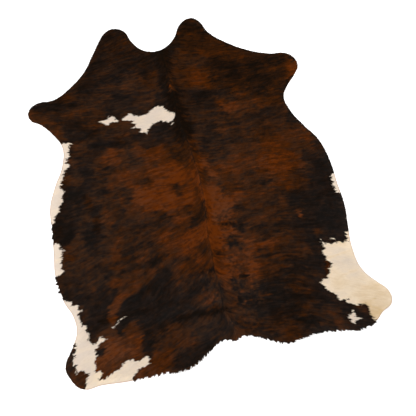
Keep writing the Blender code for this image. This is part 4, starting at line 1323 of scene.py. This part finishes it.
def hair_piece(name, places, numbers, chance):
    """One piece of the coat, two triangles a lock."""
    four = 4 * np.arange(len(places))[:, None]
    triangles = np.concatenate((four + (0, 1, 2), four + (0, 2, 3)), 1).reshape(-1, 3)
    places = places.reshape(-1, 3)
    mesh = mesh_from(name, places, triangles)
    mesh.materials.append(COAT_MATERIAL)
    each = [np.repeat(values, 4, axis=0) for values in numbers]
    dress(mesh, each, np.repeat(chance, 4), np.zeros(len(places)))
    plan = places[:, :2]
    low, high = plan.min(0), plan.max(0)
    spots = (plan - low) / (high - low).max()
    layer = mesh.uv_layers.new(name="OFBake")
    layer.uv.foreach_set("vector", spots[triangles.ravel()].astype(np.float32).ravel())
    return link(name, mesh)


def coat_pieces():
    """The coat in four pieces: each half of the hide, fore and hind."""
    locks = lock_table()
    places = lock_points(locks)
    seen = locks.root + locks.way * (COLOUR_AT * locks.length)[:, None]
    numbers = coat_numbers(seen, locks.chance, places[:, 2, :2])
    is_left = off_spine(locks.root) < 0.0
    pieces = []
    for side_name, on_side in (("left", is_left), ("right", ~is_left)):
        fore = locks.root[:, 1] >= np.median(locks.root[on_side, 1])
        for end_name, on_end in (("fore", fore), ("hind", ~fore)):
            picked = on_side & on_end
            own = [values[picked] for values in numbers]
            name = f"hair_{side_name}_{end_name}"
            pieces.append(hair_piece(name, places[picked], own, locks.chance[picked]))
    return pieces


COAT_MATERIAL = coat_material()
EDGE_MATERIAL = edge_material()
SUEDE_MATERIAL = suede_material()
leather, leather_area = leather_piece()
hair = coat_pieces()

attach(leather, "root")
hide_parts("hide")
for piece in hair:
    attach(piece, "root")
    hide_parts("hide")


# -------- floor, light and camera
def floor_piece():
    half, low = FLOOR_HALF, -FLOOR_BELOW
    corners = np.array(((-half, -half, low), (half, -half, low), (half, half, low), (-half, half, low)))
    mesh = mesh_from("floor", corners, np.array(((0, 1, 2), (0, 2, 3))))
    mesh.materials.append(floor_material())
    return link("floor", mesh)


def area_light(name, place, power):
    """A soft round light that points at the hide's middle."""
    data = bpy.data.lights.new(name, "AREA")
    data.shape = "DISK"
    data.size = LAMP_SIZE
    data.energy = power
    light = link(name, data)
    light.location = place
    light.rotation_euler = (-Vector(place)).to_track_quat("-Z", "Y").to_euler()


def add_world():
    """A faint even light from all around."""
    world = bpy.data.worlds.new("studio")
    world.use_nodes = True
    background = world.node_tree.nodes["Background"]
    background.inputs["Color"].default_value = (1.0, 1.0, 1.0, 1.0)
    background.inputs["Strength"].default_value = SKY_STRENGTH
    bpy.context.scene.world = world
    bpy.context.scene.view_settings.view_transform = "Standard"


def add_camera():
    data = bpy.data.cameras.new("camera")
    data.lens = CAMERA_LENS
    data.sensor_width = CAMERA_SENSOR
    data.clip_end = CAMERA_FAR
    camera = link("camera", data)
    flat = math.cos(CAMERA_ELEVATION)
    back = Vector((-CAMERA_HEADING[0] * flat, -CAMERA_HEADING[1] * flat, math.sin(CAMERA_ELEVATION)))
    camera.location = Vector(CAMERA_TARGET) + CAMERA_DISTANCE * back
    camera.rotation_euler = (-back).to_track_quat("-Z", "Y").to_euler()
    bpy.context.scene.camera = camera


floor_piece()
area_light("key", KEY_PLACE, KEY_POWER)
area_light("fill", FILL_PLACE, FILL_POWER)
add_world()
add_camera()
